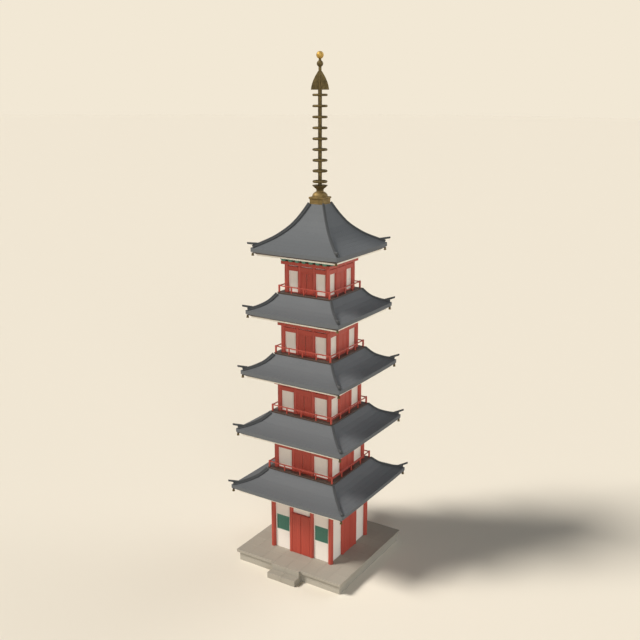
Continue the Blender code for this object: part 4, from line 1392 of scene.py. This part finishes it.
def make_ring_tree():
    tree, given, result = new_geometry_tree(
        "rings_on_the_mast", ("Count", "Int", 9), ("Pitch", "Float", 0.7), ("Radius", "Float", 0.4),
        ("Tube", "Float", 0.05), ("Spokes", "Int", 8))
    hoop = place(tree, "GeometryNodeCurvePrimitiveCircle", {"Resolution": 40, "Radius": given["Radius"]})
    tube = place(tree, "GeometryNodeCurvePrimitiveCircle", {"Resolution": 10, "Radius": given["Tube"]})
    torus = place(tree, "GeometryNodeCurveToMesh", {"Curve": hoop, "Profile Curve": tube})
    thin = maths(tree, "MULTIPLY", given["Tube"], SPOKE_SHARE)
    bar = place(tree, "GeometryNodeMeshCylinder", {"Vertices": 8, "Radius": thin, "Depth": given["Radius"]})
    laid = moved(tree, bar, (0, math.pi / 2, 0), X=maths(tree, "MULTIPLY", given["Radius"], 0.5))
    spots = place(tree, "GeometryNodePoints", {"Count": given["Spokes"]})
    share = maths(tree, "DIVIDE", place(tree, "GeometryNodeInputIndex"), given["Spokes"])
    spokes = turned_copies(tree, spots, laid, maths(tree, "MULTIPLY", share, 2 * math.pi))
    first = moved(tree, joined(tree, torus, spokes), Z=RING_FIRST)
    up = place(tree, "ShaderNodeCombineXYZ", {"Z": given["Pitch"]})
    line = place(tree, "GeometryNodeMeshLine", {"Count": given["Count"], "Offset": up})
    return finish_tree(tree, copies_on(tree, line, first), given, result)


def build_mast():
    """The pole, with a collar at each ring."""
    low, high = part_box("spire_mast")
    profile = [(MAST_RADIUS, low.z - 0.08)]
    for index in range(RING_COUNT):
        height = RING_FIRST + RING_PITCH * index
        profile += [(MAST_RADIUS, height - COLLAR_FOOT), (MAST_RADIUS + COLLAR_OUT, height - COLLAR_HALF),
                    (MAST_RADIUS + COLLAR_OUT, height + COLLAR_HALF), (MAST_RADIUS, height + COLLAR_FOOT)]
    profile.append((MAST_RADIUS, high.z + TENON))
    mast = add_turned(new_shape(), profile, 32)
    finish_piece("spire_mast_pole", mast, dark_bronze, ["spire_mast"])


rings = grown(make_ring_tree(), bpy.data.meshes.new("no_seed"),
              {"Count": RING_COUNT, "Pitch": RING_PITCH, "Radius": RING_RADIUS, "Tube": RING_TUBE,
               "Spokes": RING_SPOKES, "Material": dark_bronze})
finish_piece("spire_rings", rings, dark_bronze)
build_mast()

# %% Cut the flame plates and turn the balls
FLAME_PLATES = 4
FLAME_THICK = 0.05
FLAME_HALF_WIDE = 0.60
FLAME_LEAN = 0.10
FLAME_DRAWN_IN = 0.39
FLAME_CURVE = 1.9
FLAME_INNER = 0.05
NECK_HIGH = 0.05
BALL_PIN = 0.085
FLAME_AT = (0.0, 0.1, 0.2, 0.3, 0.42, 0.54, 0.66, 0.78, 0.9, 1.0)
NECK_RADIUS = 0.10
LOWER_BALL = 34.88
LOWER_BALL_RADIUS = 0.21
UPPER_BALL = 35.41


def build_flame():
    """Thin plates round the mast, wide and level at the foot, drawn in to the neck with a curve."""
    low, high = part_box("spire_flame")
    top = high.z - NECK_HIGH
    outline = [(FLAME_HALF_WIDE - FLAME_LEAN * share - FLAME_DRAWN_IN * share ** FLAME_CURVE,
                low.z + (top - low.z) * share) for share in FLAME_AT]
    flame = new_shape()
    for index in range(FLAME_PLATES):
        angle = math.radians(45 + 90 * index)
        long_way = Vector((math.cos(angle), math.sin(angle), 0))
        thick = Vector((-math.sin(angle), math.cos(angle), 0)) * FLAME_THICK / 2
        loop = [(FLAME_INNER, low.z)] + outline + [(FLAME_INNER, top)]
        add_skin(flame, [[long_way * radius + Vector((0, 0, z)) + side for radius, z in loop]
                         for side in (-thick, thick)])
    add_turned(flame, [(MAST_RADIUS, low.z), (MAST_RADIUS, top - 0.15), (NECK_RADIUS, top),
                       (NECK_RADIUS, high.z)], 24)
    finish_piece("spire_flame_plates", flame, dark_bronze, ["spire_flame"], 0.004)


def build_balls():
    low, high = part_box("spire_jewels")
    profile = [(NECK_RADIUS, low.z), *arc(LOWER_BALL_RADIUS, LOWER_BALL, LOWER_BALL_RADIUS, -62, 62, 12),
               (BALL_PIN, LOWER_BALL + 0.22), (BALL_PIN, UPPER_BALL - 0.20)]
    lower = add_turned(new_shape(), profile, SPIRE_SIDES)
    finish_piece("spire_lower_ball", lower, dark_bronze)
    radius = high.z - UPPER_BALL
    upper = add_turned(new_shape(), arc(radius, UPPER_BALL, radius, -80, 89.5, 24), SPIRE_SIDES)
    finish_piece("spire_gilded_ball", upper, gilding, ["spire_jewels"])


build_flame()
build_balls()
print("with the spire:", len(made_pieces))

# %% [markdown]
# ## Plaster
#
# The plaster between the timbers has a plain shape that is already right, so those solids stay
# and only take the plaster finish.

# %% Finish the plaster walls
plaster_nodes = [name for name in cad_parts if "_wall" in name]
for name in plaster_nodes:
    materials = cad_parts[name].data.materials
    materials.clear()
    materials.append(plaster)
print("plaster solids:", len(plaster_nodes))

# %% [markdown]
# ## Stage
#
# The floor is a wide sheet of the same paper as the background. Its own colour is a little
# deeper, because the lamps light it, and the two meet without a line at the horizon.

# %% Lay the floor
FLOOR_HALF = 900.0
FLOOR_COLOUR = (0.800, 0.728, 0.602, 1.0)
floor_mesh = bpy.data.meshes.new("floor")
corners = [(FLOOR_HALF * x, FLOOR_HALF * y, -HAIR) for x, y in ((-1, -1), (1, -1), (1, 1), (-1, 1))]
floor_mesh.from_pydata(corners, [], [(0, 1, 2, 3)])
paper, _, paper_sockets = new_finish("paper")
for name, value in {"Base Color": FLOOR_COLOUR, "Roughness": 0.95, "Specular IOR Level": 0.0}.items():
    paper_sockets[name].default_value = value
floor_mesh.materials.append(paper)
link_object("floor", floor_mesh)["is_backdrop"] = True

# %% Check the size and finish
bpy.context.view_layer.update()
triangles = 0
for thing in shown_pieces():
    thing.data.calc_loop_triangles()
    triangles += len(thing.data.loop_triangles)
print("triangles:", triangles, "pieces:", len(made_pieces))
